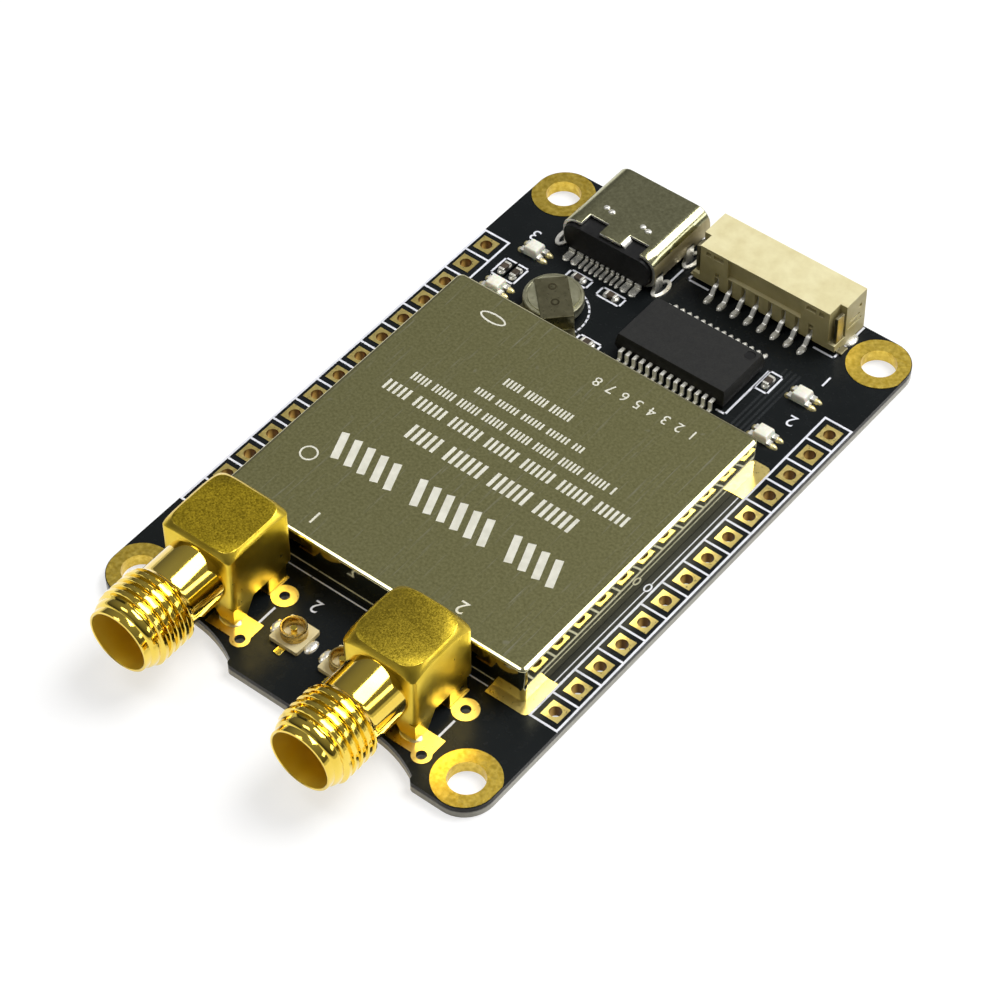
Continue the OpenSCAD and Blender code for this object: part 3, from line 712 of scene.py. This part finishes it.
# Sheet, corner radius, and how far the walls lean in at their foot
CAN_SHEET, CAN_CORNER, CAN_LEAN = 0.2, 0.5, 0.14
CAN_LEVEL_NORMAL = 0.95


def fold_points():
    """Points of the fold as (run out, drop) from where the flat top ends."""
    run, drop = 0.0, 0.0
    points = [(run, drop)]
    for length, lean_from, lean_to in FOLD:
        for k in range(FOLD_STEPS):
            lean = math.radians(lean_from + (lean_to - lean_from) * (k + 0.5) / FOLD_STEPS)
            run += length / FOLD_STEPS * math.cos(lean)
            drop += length / FOLD_STEPS * math.sin(lean)
            points.append((run, drop))
    return points


def shield_can():
    """Drawn sheet can: folded top edges outside, plain sheet inside."""
    width, length = CAN_HIGH.x - CAN_LOW.x, CAN_HIGH.y - CAN_LOW.y
    fold = fold_points()
    levels = [(fold[-1][0] - run, CAN_TOP - drop) for run, drop in fold]
    levels += [(CAN_LEAN, CAN_LOW.z), (CAN_LEAN + CAN_SHEET, CAN_LOW.z), (CAN_SHEET, CAN_TOP - CAN_SHEET)]
    loops = []
    for inset, z in levels:
        points = rounded_rect(width - 2 * inset, length - 2 * inset, CAN_CORNER - inset)
        loops.append(level(points, middle_of(CAN_LOW, CAN_HIGH), z))
    bm = bmesh.new()
    loft(bm, loops)
    for face in bm.faces:
        face.normal_update()
        face.material_index = int(abs(face.normal.z) <= CAN_LEVEL_NORMAL)
    piece("shield_can_shape", bm, "can_sheet", CAN_SKIN, CAN_WALL, sharp=50, replaces=("shield_can",))


shield_can()


# Plug socket

SHELL_R, SHELL_SHEET, SHELL_EDGE, SHELL_STEPS = 1.35, 0.3, 0.06, 12
# Windows in the rear edge of the top as (left, right) of the middle, a break between them, and their length
WINDOWS, WINDOW_BREAK, WINDOW_L = ((-2.7, -0.93), (1.13, 2.95)), 0.1, 1.25
# Stretches of the section that the windows leave open
OPEN = (0, 3)
# Pressed marks as (x from the middle, y from the rear, half width)
MARKS = ((-2.15, 2.59, 0.28), (-1.55, 2.44, 0.32), (1.35, 2.59, 0.28), (1.95, 2.44, 0.32))
# Stakes: distances from the rear, and half length
STAKES, STAKE_HALF = (0.6, 4.6), 0.5
# Bent flap in the right window as (right of the middle, below the top)
FLAP = ((1.0, 0.1), (1.22, 0.14), (1.37, 0.3), (1.44, 0.55), (1.48, 1.0))


def shell_section(flat, height):
    """Oval of the shell as (across, up), from the first window on."""
    section = [(across, height) for across in (*WINDOWS[0], WINDOW_BREAK, *WINDOWS[1])]
    high = height - SHELL_R
    for x, z, start in ((flat, high, 90), (flat, SHELL_R, 0), (-flat, SHELL_R, -90), (-flat, high, 180)):
        for k in range(SHELL_STEPS + 1):
            a = math.radians(start - 90 * k / SHELL_STEPS)
            section.append((x + SHELL_R * math.cos(a), z + SHELL_R * math.sin(a)))
    return section


def plug_shell():
    """Folded oval shell with two rear windows, pressed marks, a bent flap and four soldered stakes."""
    low, high = box_mm("plug_shell")
    x, width, height = (low.x + high.x) / 2, high.x - low.x, high.z - TOP
    rear, mouth = low.y, high.y
    window_end = rear + WINDOW_L
    section = shell_section(width / 2 - SHELL_R, height)
    count = len(section)
    bm = bmesh.new()
    rows = [[bm.verts.new((x + across, y, TOP + up)) for across, up in section]
            for y in (rear, window_end, rear + 4, mouth - 0.1, mouth)]
    for row, (a, b) in enumerate(zip(rows, rows[1:])):
        for i in range(count):
            if row == 0 and i in OPEN:
                continue
            j = (i + 1) % count
            face = bm.faces.new((a[i], a[j], b[j], b[i]))
            face.normal_update()
            face.material_index = int(abs(face.normal.x) > 0.85)
    obj = piece("plug_shell_shape", bm, "plug_sheet", SHEET, SHEET_SIDE, SHEET_TAB, sharp=40,
                replaces=("plug_shell",))
    thick = obj.modifiers.new("sheet", "SOLIDIFY")
    thick.thickness = SHELL_SHEET * MM
    thick.offset = -1
    # The cut edges take the whiter sheet, a painted highlight
    thick.material_offset_rim = 2
    bevel = obj.modifiers.new("edges", "BEVEL")
    bevel.width = SHELL_EDGE * MM
    bevel.segments = 2
    bevel.limit_method = "ANGLE"

    def bent(along, out, down):
        """Place on the flap."""
        return (x + out, along, high.z - down)

    bm = bmesh.new()
    for dx, dy, half in MARKS:
        blob(bm, x + dx, rear + dy, high.z - 0.02, half, 0.26, 0.16, 20)
    for s in (-1, 1):
        side = x + s * (width - SHELL_SHEET) / 2
        for y in (rear + back for back in STAKES):
            brick(bm, side - SHELL_SHEET / 2, side + SHELL_SHEET / 2, y - STAKE_HALF, y + STAKE_HALF,
                  BOARD_LOW.z, TOP + height / 2, edge=0.03)
            ring_line(bm, side + s * 0.35, y, 0.42, 0.95, 0.32, TOP, thick=0.16)
    ribbon(bm, FLAP, 0.16, rear + 0.1, window_end - 0.15, bent)
    # The pressed marks, stakes and flap take the whiter sheet, a painted highlight
    piece("plug_shell_tabs", bm, "plug_sheet", SHEET_TAB, sharp=40)


plug_shell()


# Interface chip

# Round mark: distance of its middle from the two edges, radius, depth and steps
MARK_IN, MARK_R, MARK_DEPTH, MARK_STEPS = 0.85, 0.45, 0.05, 48
# Height of the leads over the board, and half the upright band that they leave from
LEAD_Z, LEAD_BAND = 0.84, 0.08


def interface_chip():
    """Moulded chip with drafted sides and a round mark at one corner of its top."""
    low, high = box_mm("interface_chip")
    at = middle_of(low, high)
    half_x, half_y = (high.x - low.x) / 2, (high.y - low.y) / 2
    mark_x, mark_y = half_x - MARK_IN, half_y - MARK_IN
    corners = [math.atan2(sy * half_y - mark_y, sx * half_x - mark_x) for sx in (-1, 1) for sy in (-1, 1)]
    angles = sorted([2 * math.pi * i / MARK_STEPS - math.pi for i in range(MARK_STEPS)] + corners)

    def rim(inset, z):
        """Points of the inset outline straight out from the mark."""
        loop = []
        for a in angles:
            c, s = math.cos(a), math.sin(a)
            reach_x = (math.copysign(half_x, c) - mark_x) / c if abs(c) > 1e-9 else math.inf
            reach_y = (math.copysign(half_y, s) - mark_y) / s if abs(s) > 1e-9 else math.inf
            reach = min(reach_x, reach_y)
            px, py = mark_x + reach * c, mark_y + reach * s
            loop.append((at[0] + px * (1 - inset / half_x), at[1] + py * (1 - inset / half_y), z))
        return loop

    def dot(radius, z):
        """Circle about the mark."""
        return [(at[0] + mark_x + radius * math.cos(a), at[1] + mark_y + radius * math.sin(a), z)
                for a in angles]

    middle_z = TOP + LEAD_Z
    bm = bmesh.new()
    loft(bm, [rim(0.22, low.z), rim(0.0, middle_z - LEAD_BAND), rim(0.0, middle_z + LEAD_BAND),
              rim(0.16, high.z - 0.05), rim(0.2, high.z), dot(MARK_R, high.z),
              dot(MARK_R - 0.06, high.z - MARK_DEPTH)])
    for face in bm.faces:
        middle = face.calc_center_median()
        inside = math.hypot(middle.x - at[0] - mark_x, middle.y - at[1] - mark_y) < MARK_R
        face.material_index = int(inside and middle.z > middle_z)
    piece("interface_chip_shape", bm, "chip_epoxy", EPOXY, BLACK, sharp=30, replaces=("interface_chip",))


interface_chip()


# Backup cell

# The cell's side as (inset, height over its foot), and its crimped top edge as (inset, drop from its top)
CELL_SIDE = ((0.35, 0.0), (0.15, 0.1), (0.1, 0.25), (0.02, 0.32), (0.0, 0.4))
CELL_CRIMP = ((0.0, 0.2), (0.03, 0.1), (0.1, 0.04), (0.26, 0.03), (0.3, 0.06), (0.36, 0.06), (0.39, 0.0))
# Weld marks, as far right of the cell's middle as they are nearer than it
WELDS, WELD_R = (-0.525, 0.665), 0.28


def backup_cell():
    """Crimped coin cell with weld marks on its strip."""
    low, high = box_mm("backup_cell")
    x, y = middle_of(low, high)
    radius, height = (high.x - low.x) / 2, high.z - low.z
    profile = [(radius - inset, up) for inset, up in CELL_SIDE]
    profile += [(radius - inset, height - drop) for inset, drop in CELL_CRIMP]
    bm = bmesh.new()
    turned(bm, profile, (x, y, low.z), 64)
    piece("backup_cell_shape", bm, "cell_steel", CELL, sharp=30, replaces=("backup_cell",))
    strip_top = box_mm("cell_strip")[1].z
    bm = bmesh.new()
    for along in WELDS:
        ring_line(bm, x + along, y - along, WELD_R, WELD_R, 0.14, strip_top - 0.01, thick=0.025)
    piece("cell_welds", bm, "cell_steel", WELD)


backup_cell()


# Wire socket, with depths from its rear and heights over its base

# Rear windows as (place from the middle, width), and shallow marks on the ends as (y0, y1, z0, z1)
REAR_WINDOWS = ((4.3, 0.9), (5.25, 0.42))
END_MARKS = ((1.9, 3.2, 2.0, 2.2), (1.7, 3.5, 1.4, 1.58), (3.1, 3.4, 2.7, 3.05))
# Half width of the lead slots, and how far cuts reach past the housing
SLOT_HALF, PAST = 0.2, 1.0
# A contact's bend as (depth, height), its thickness and half width
PIN_Z = 1.75
BEND = ((-1.3, 0.1), (-0.8, 0.1), (-0.62, 0.15), (-0.48, 0.28), (-0.36, 0.5), (-0.22, 0.66), (-0.02, 0.72),
        (0.26, 0.74), (0.42, 0.84), (0.5, 1.06), (0.54, 1.5), (0.64, 1.7), (0.9, PIN_Z), (3.3, PIN_Z))
CONTACT_THICK, CONTACT_HALF = 0.2, 0.17


def wire_cuts(low, high, leads):
    """Boxes to cut out of the housing."""
    x, rear, front, base, top = (low.x + high.x) / 2, low.y, high.y, low.z, high.z
    half = (high.x - low.x) / 2
    bay, ledge, pin_z = half - 3.2, base + 2.06, base + PIN_Z
    room = (x - half + 0.9, x + half - 0.9, rear + 1.1, front + PAST, base + 0.75, top - 0.6)
    key = (x - half + 3, x + half - 3, front - 1.6, front + PAST, top - 1, top - 0.25)
    recess = (x - bay, x + bay, rear - PAST, rear + 0.36, ledge, top - 0.12)
    undercut = (low.x - PAST, high.x + PAST, rear - PAST, rear + 0.8, base - PAST, base + 0.36)
    cuts = [room, key, recess, undercut]
    for lead in leads:
        left, right = lead - SLOT_HALF, lead + SLOT_HALF
        slot_top = ledge - 0.12 if abs(lead - x) < bay else base + 1.5
        cuts.append((left, right, rear - PAST, rear + 0.75, base - PAST, slot_top))
        cuts.append((left, right, rear, rear + 1.2, pin_z - SLOT_HALF, pin_z + SLOT_HALF))
    for s in (-1, 1):
        for place, width in REAR_WINDOWS:
            left, right = x + s * place - width / 2, x + s * place + width / 2
            cuts.append((left, right, rear - PAST, rear + 1.3, top - 0.74, top - 0.34))
        outside = x + s * (half + PAST)
        notch = sorted((outside, x + s * (half - 0.62)))
        cuts.append((*notch, rear - PAST, rear + 1.4, base + 0.95, top + PAST))
        skin = sorted((outside, x + s * (half - 0.12)))
        cuts += [(*skin, rear + y0, rear + y1, base + z0, base + z1) for y0, y1, z0, z1 in END_MARKS]
    return cuts


def wire_socket():
    """Side-entry housing with its rear recess, lead slots and corner notches, and the bent contacts."""
    low, high = box_mm("wire_housing")
    leads = [middle_of(*box)[0] for box in islands("wire_contacts")]
    housing = carved((low.x, high.x, low.y, high.y, low.z, high.z), wire_cuts(low, high, leads))
    obj = piece("wire_housing_shape", housing, "cream_plastic", CREAM, replaces=("wire_housing",))
    soften(obj, 0.05)

    def bent(along, depth, up):
        """Place on a contact."""
        return (along, low.y + depth, low.z + up)

    bm = bmesh.new()
    for lead in leads:
        ribbon(bm, BEND, CONTACT_THICK, lead - CONTACT_HALF, lead + CONTACT_HALF, bent)
    piece("wire_contact_shapes", bm, "tinned_metal", LEAD, sharp=50, replaces=("wire_contacts",))


wire_socket()


# Indicator lamps

# Length of a base's pronged ends, half the gap between two prongs, and the width of softened edges
PRONG_L, PRONG_GAP, LAMP_EDGE = 0.36, 0.14, 0.03
# The lens as (drop from its top, share of its outline)
LENS = ((0.2, 0.97), (0.06, 0.9), (0.0, 0.78))


def lamps():
    """White lamps: a plated base with pronged ends, and a moulded lens on it."""
    bases, lenses = bmesh.new(), bmesh.new()
    top = box_mm("lamp_lenses")[1].z
    for low, high in islands("lamp_bases"):
        at = middle_of(low, high)
        half_x, half_y = (high.x - low.x) / 2, (high.y - low.y) / 2
        body = half_x - PRONG_L
        brick(lenses, at[0] - body, at[0] + body, low.y, high.y, low.z, high.z, edge=LAMP_EDGE)
        for s in (-1, 1):
            for t in (-1, 1):
                x0, x1 = sorted((at[0] + s * body, at[0] + s * half_x))
                y0, y1 = sorted((at[1] + t * PRONG_GAP, at[1] + t * half_y))
                brick(bases, x0, x1, y0, y1, low.z, high.z, edge=LAMP_EDGE)
        outline = rounded_rect(2 * body, 2 * half_y, 0.1)
        loops = [level(outline, at, high.z - 0.02)]
        loft(lenses, loops + [level(outline, at, top - drop, share) for drop, share in LENS])
    piece("lamp_base_shapes", bases, "tinned_metal", SHEET_TAB, sharp=40, replaces=("lamp_bases",))
    piece("lamp_lens_shapes", lenses, "lamp_resin", RESIN, sharp=40, replaces=("lamp_lenses",))


lamps()


# Small antenna sockets

# Solids of the rings that are lower than this are their feet
FOOT_H = 0.3


def small_rings():
    """Rolled rings with a snap groove, and their soldered feet."""
    bm = bmesh.new()
    for low, high in islands("small_rings"):
        r, h = (high.x - low.x) / 2, high.z - low.z
        if h < FOOT_H:
            brick(bm, low.x, high.x, low.y, high.y, low.z, high.z, edge=0.03)
            continue
        profile = [(r, 0), (r, 0.1), (r - 0.06, 0.2), (r - 0.06, 0.5), (r, 0.6), (r, h - 0.06),
                   (r - 0.05, h), (r - 0.15, h), (r - 0.2, h - 0.06), (r - 0.2, 0)]
        turned(bm, profile, (*middle_of(low, high), low.z), wrap=True)
    piece("small_ring_shapes", bm, "socket_gold", DULL_GOLD, sharp=40, replaces=("small_rings",))


small_rings()


# Solder, as (half width, half length, height) of a heap

LEAD_HEAP, CONTACT_HEAP, TAB_HEAP = (0.19, 0.3, 0.14), (0.3, 0.6, 0.2), (0.5, 0.75, 0.16)
CAP_HEAP, RING_HEAP, LEG_HEAP = (0.32, 0.36, 0.16), (0.4, 0.7, 0.2), (0.95, 0.62, 0.14)
# Heaps at a lamp's left and right prongs
LAMP_HEAPS = ((0.3, 0.28, 0.24), (0.55, 0.28, 0.24))


def solder():
    """Solder at the leads, contacts, tabs, caps, tails and rings, and other heaps at legs and lamps."""
    bm = bmesh.new()
    chip_y = middle_of(*box_mm("interface_chip"))[1]
    for low, high in islands("interface_leads"):
        tip = high.y if low.y > chip_y else low.y
        blob(bm, middle_of(low, high)[0], tip, TOP, *LEAD_HEAP)
    for low, high in islands("wire_contacts"):
        blob(bm, middle_of(low, high)[0], low.y + 0.3, TOP, *CONTACT_HEAP)
    for low, high in islands("wire_tabs"):
        x, y = middle_of(low, high)
        blob(bm, x, y + 1.4, TOP, *TAB_HEAP)
    for low, high in islands("chip_caps"):
        blob(bm, *middle_of(low, high), TOP, *CAP_HEAP)
    for low, high in islands("plug_contacts"):
        if low.z < TOP + 0.1:
            half = (high.x - low.x) / 2 + 0.02
            blob(bm, middle_of(low, high)[0], low.y + 0.1, TOP, half, 0.3, 0.08)
    for low, high in islands("small_rings"):
        if high.z - low.z < FOOT_H:
            blob(bm, *middle_of(low, high), TOP, *RING_HEAP)
    piece("solder", bm, "tinned_metal", TIN, sharp=60)
    bm = bmesh.new()
    for side in ("left", "right"):
        low, high = box_mm(f"antenna_{side}_body")
        width = high.x - low.x
        y = high.y - width + LEG_W / 2 - 0.35
        for s in (-1, 1):
            blob(bm, middle_of(low, high)[0] + s * (width - LEG_W) / 2, y, PAD_TOP, *LEG_HEAP, 28)
    for low, high in islands("lamp_bases"):
        for x, heap in zip((low.x, high.x), LAMP_HEAPS):
            for t in (-1, 1):
                blob(bm, x, middle_of(low, high)[1] + t * 0.4, TOP, *heap, 20)
    piece("solder_fillets", bm, "tinned_metal", SOLDER, sharp=50)


solder()


# Print on the board

LINE, SIDE_LINE, NEAR_LINE, FRAME_LINE, ARC_LINE = 0.18, 0.08, 0.12, 0.17, 0.16
# Distance of the rows' inner lines from the board's edge
ROW_IN = 2.45
# Lines right of the can as (y0, y1), and lines in front of it as (x0, x1)
SIDE_X, SIDE_RUNS = 14.62, ((7.3, -3.1), (-4.1, -14.6))
NEAR_Y, NEAR_RUNS = -17.62, ((-7.6, -5.05), (-4.85, 0.2), (9.2, 11.15))
# Lines beside the parts as (x0, y0, x1, y1), and frames round the small ones as (x0, x1, y0, y1)
PART_LINES = ((-2.6, 22, -2.6, 24), (-1.65, 24.1, -1.65, 23.2), (-1.65, 23.2, 0.2, 23.2),
              (10.2, 23.2, 12.0, 23.2), (12.0, 23.2, 12.0, 27.2), (8.95, 19, 8.95, 13.45),
              (8.95, 13.45, 8.2, 13.45), (11.3, -21.5, 11.3, -23.1), (-5.15, -21.5, -5.15, -23.1))
PART_FRAMES = ((-14.2, -13.1, 14.4, 16.4), (-13.1, -12.0, 14.4, 16.4), (-9.4, -7.3, 17.5, 18.5),
               (-6.3, -4.1, 17.5, 18.5), (9.05, 10.2, 17.05, 19.15), (-4.6, -2.6, 12.4, 13.4))
# Arc beside the cell: middle, radius, and its start in degrees
ARC_X, ARC_Y, ARC_R, ARC_START = -8.0, 14.0, 3.0, -70
BOARD_FIGURES = (("1", 13.0, 20.9), ("2", 13.25, 16.0), ("3", -14.0, 19.8), ("2", -2.9, -19.5))
TRACES_X = (9.9, 10.3, 10.75, 11.15)


def row_lines(bm):
    """Lines round every pad of the two rows."""
    rows = islands("row_eyelets_left")
    count = len(rows)
    pitch = (rows[-1][0].y - rows[0][0].y) / (count - 1)
    end = pitch * count / 2
    inner, outer = HALF_W - ROW_IN, HALF_W - LINE / 2
    for s in (-1, 1):
        for x in (s * inner, s * outer):
            strip(bm, x, -end, x, end, LINE, TOP)
        for i in range(count + 1):
            y = -end + i * pitch
            strip(bm, s * inner, y, s * outer, y, LINE, TOP, thick=CROSS_INK)


def arc_point(step):
    """Point of the arc beside the cell, in steps of 10 degrees."""
    a = math.radians(ARC_START + 10 * step)
    return ARC_X + ARC_R * math.cos(a), ARC_Y + ARC_R * math.sin(a)


def board_print():
    """White lines round the pads and parts, plain figures, and the traces that show through the mask."""
    bm = bmesh.new()
    row_lines(bm)
    for y0, y1 in SIDE_RUNS:
        strip(bm, SIDE_X, y0, SIDE_X, y1, SIDE_LINE, TOP)
    ring_line(bm, 14.6, -3.6, 0.22, 0.36, 0.13, TOP)
    for x0, x1 in NEAR_RUNS:
        strip(bm, x0, NEAR_Y, x1, NEAR_Y, NEAR_LINE, TOP)
    for ends in PART_LINES:
        strip(bm, *ends, LINE, TOP)
    for box in PART_FRAMES:
        frame_lines(bm, *box, FRAME_LINE, TOP)
    for k in range(14):
        strip(bm, *arc_point(k), *arc_point(k + 1), ARC_LINE, TOP)
    for text, x, y in BOARD_FIGURES:
        figure(bm, text, x, y, TOP, 1.6)
    piece("board_print", bm, "board_mask", PRINT)
    bm = bmesh.new()
    for x in TRACES_X:
        strip(bm, x, 13, x, 20, 0.2, TOP, thick=0.008)
    piece("board_traces", bm, "board_mask", TRACE)


board_print()


# Print on the can

# Rows of bars as (x0, x1, y0, y1, bar width), one with a slant
BAR_ROWS = ((-10, 11, -10.3, -7.8, 0.62, -0.7), (-6.5, 8.9, -5.5, -4.0, 0.3),
            (-10.9, 11.6, -2.7, -1.6, 0.24), (-9.8, 9.1, -0.7, 0.1, 0.17),
            (-5.2, 4.9, 1.1, 1.75, 0.17), (-4, 2.3, 3.0, 3.8, 0.17))
# Of so many bars in turn, the one that is left out
BAR_TURN, BAR_LEFT_OUT = 7, 5


def bar_row(bm, x0, x1, y0, y1, width, slant=0.0):
    """Row of plain bars, in place of a line of print."""
    count = max(1, round((x1 - x0) / (2 * width)))
    for i in range(count):
        if i % BAR_TURN == BAR_LEFT_OUT:
            continue
        x = x0 + (i + 0.5) * (x1 - x0) / count
        strip(bm, x - slant / 2, y0 + width / 2, x + slant / 2, y1 - width / 2, width, CAN_TOP)


def can_print():
    """Generic marks where the can is printed: plain digits, bars and rings."""
    bm = bmesh.new()
    for i in range(8):
        figure(bm, str(i + 1), 10.2 - 1.25 * i, 7.6, CAN_TOP, 1.3)
    for text, x in (("1", -6.3), ("2", 7.2)):
        figure(bm, text, x, -15.4, CAN_TOP, 1.7)
    ring_line(bm, -8.7, 7.9, 1.1, 0.42, 0.16, CAN_TOP)
    ring_line(bm, -10.7, -11.0, 0.65, 0.65, 0.14, CAN_TOP)
    for row in BAR_ROWS:
        bar_row(bm, *row)
    piece("can_print", bm, "can_sheet", CAN_PRINT)


can_print()


# Studio

FLOOR_HALF, FLOOR_DEPTH, FLOOR_GLOW = 1500, 20, 0.64
# How much of the way to the far side counts as up in the surround
SKY_LEAN = 0.5
# Lamps as (name, place in metres, size in metres, power in watts)
LAMPS = (("overhead", (0.33, 0.78, 1.29), (0.85, 0.85), 20.0),
         ("right_strip", (1.166, 0.82, 0.725), (1.2, 0.26), 3.4),
         ("near_side", (-0.58, -0.2, 1.43), (0.54, 0.54), 3.8),
         ("front_fill", (-0.3, -1.35, 0.62), (1.0, 0.6), 0.5))


def area_light(name, place, size, power):
    """Soft rectangular lamp aimed at the middle of the object."""
    lamp = bpy.data.lights.new(name, "AREA")
    lamp.shape = "RECTANGLE"
    lamp.size, lamp.size_y = size
    lamp.energy = power
    obj = add_object(name, lamp)
    obj.location = place
    obj.rotation_euler = (-Vector(place)).to_track_quat("-Z", "Y").to_euler()


def brighten(material):
    """Lifts the floor to white for camera, mirror and glass rays, its shadows stay."""
    tree = material.node_tree
    path = tree.nodes.new("ShaderNodeLightPath")
    seen = path.outputs["Is Camera Ray"]
    for ray in ("Is Glossy Ray", "Is Transmission Ray"):
        seen = add_math(tree, "MAXIMUM", seen, path.outputs[ray])
    glow = add_math(tree, "MULTIPLY", seen, FLOOR_GLOW)
    shader = tree.nodes["Principled BSDF"]
    shader.inputs["Emission Color"].default_value = grey(1)
    tree.links.new(glow, shader.inputs["Emission Strength"])


def floor():
    """Pale paper floor."""
    paper = surface("floor_paper", (168, 168, 168), (174, 174, 174), (0.7, 0.8), patch=3, grain=300, relief=0)
    brighten(paper)
    bm = bmesh.new()
    brick(bm, -FLOOR_HALF, FLOOR_HALF, -FLOOR_HALF, FLOOR_HALF, -FLOOR_DEPTH, 0)
    bmesh.ops.scale(bm, vec=(MM, MM, MM), verts=bm.verts[:])
    mesh = bpy.data.meshes.new("floor")
    bm.to_mesh(mesh)
    bm.free()
    mesh.materials.append(paper)
    add_object("floor", mesh)


def surround():
    """Dim surround, brighter high up and to the far side, pale up to a little above the horizon."""
    world = bpy.data.worlds.new("surround")
    bpy.context.scene.world = world
    world.use_nodes = True
    tree = world.node_tree
    coords = tree.nodes.new("ShaderNodeTexCoord")
    axes = add_axes(tree, coords.outputs["Generated"])
    lean = add_math(tree, "MULTIPLY_ADD", axes["Y"], SKY_LEAN, axes["Z"])
    shade = add_ramp(tree, lean, [(0.0, grey(0.03)), (1.0, grey(0.25))])
    horizon = add_ramp(tree, axes["Z"], [(0.12, grey(0.6)), (0.17, grey(0))])
    sky = tree.nodes.new("ShaderNodeMix")
    sky.data_type = "RGBA"
    sky.blend_type = "LIGHTEN"
    sky.inputs["Factor"].default_value = 1.0
    tree.links.new(shade, sky.inputs[MIX_FIRST])
    tree.links.new(horizon, sky.inputs[MIX_SECOND])
    tree.links.new(sky.outputs[MIX_RESULT], tree.nodes["Background"].inputs["Color"])


floor()
surround()
for lamp_values in LAMPS:
    area_light(*lamp_values)


def camera():
    """Camera solved from the photograph's pads, holes and board corners."""
    lens = bpy.data.cameras.new("camera")
    lens.lens = 124.675
    lens.sensor_width = 36
    lens.clip_start = 0.01
    obj = add_object("camera", lens)
    obj.location = (0.106706, -0.133261, 0.190649)
    obj.rotation_euler = Euler([math.radians(a) for a in (41.40936, 0.52091, 38.57211)], "XYZ")
    bpy.context.scene.camera = obj


camera()

bpy.context.scene.view_settings.view_transform = "Standard"
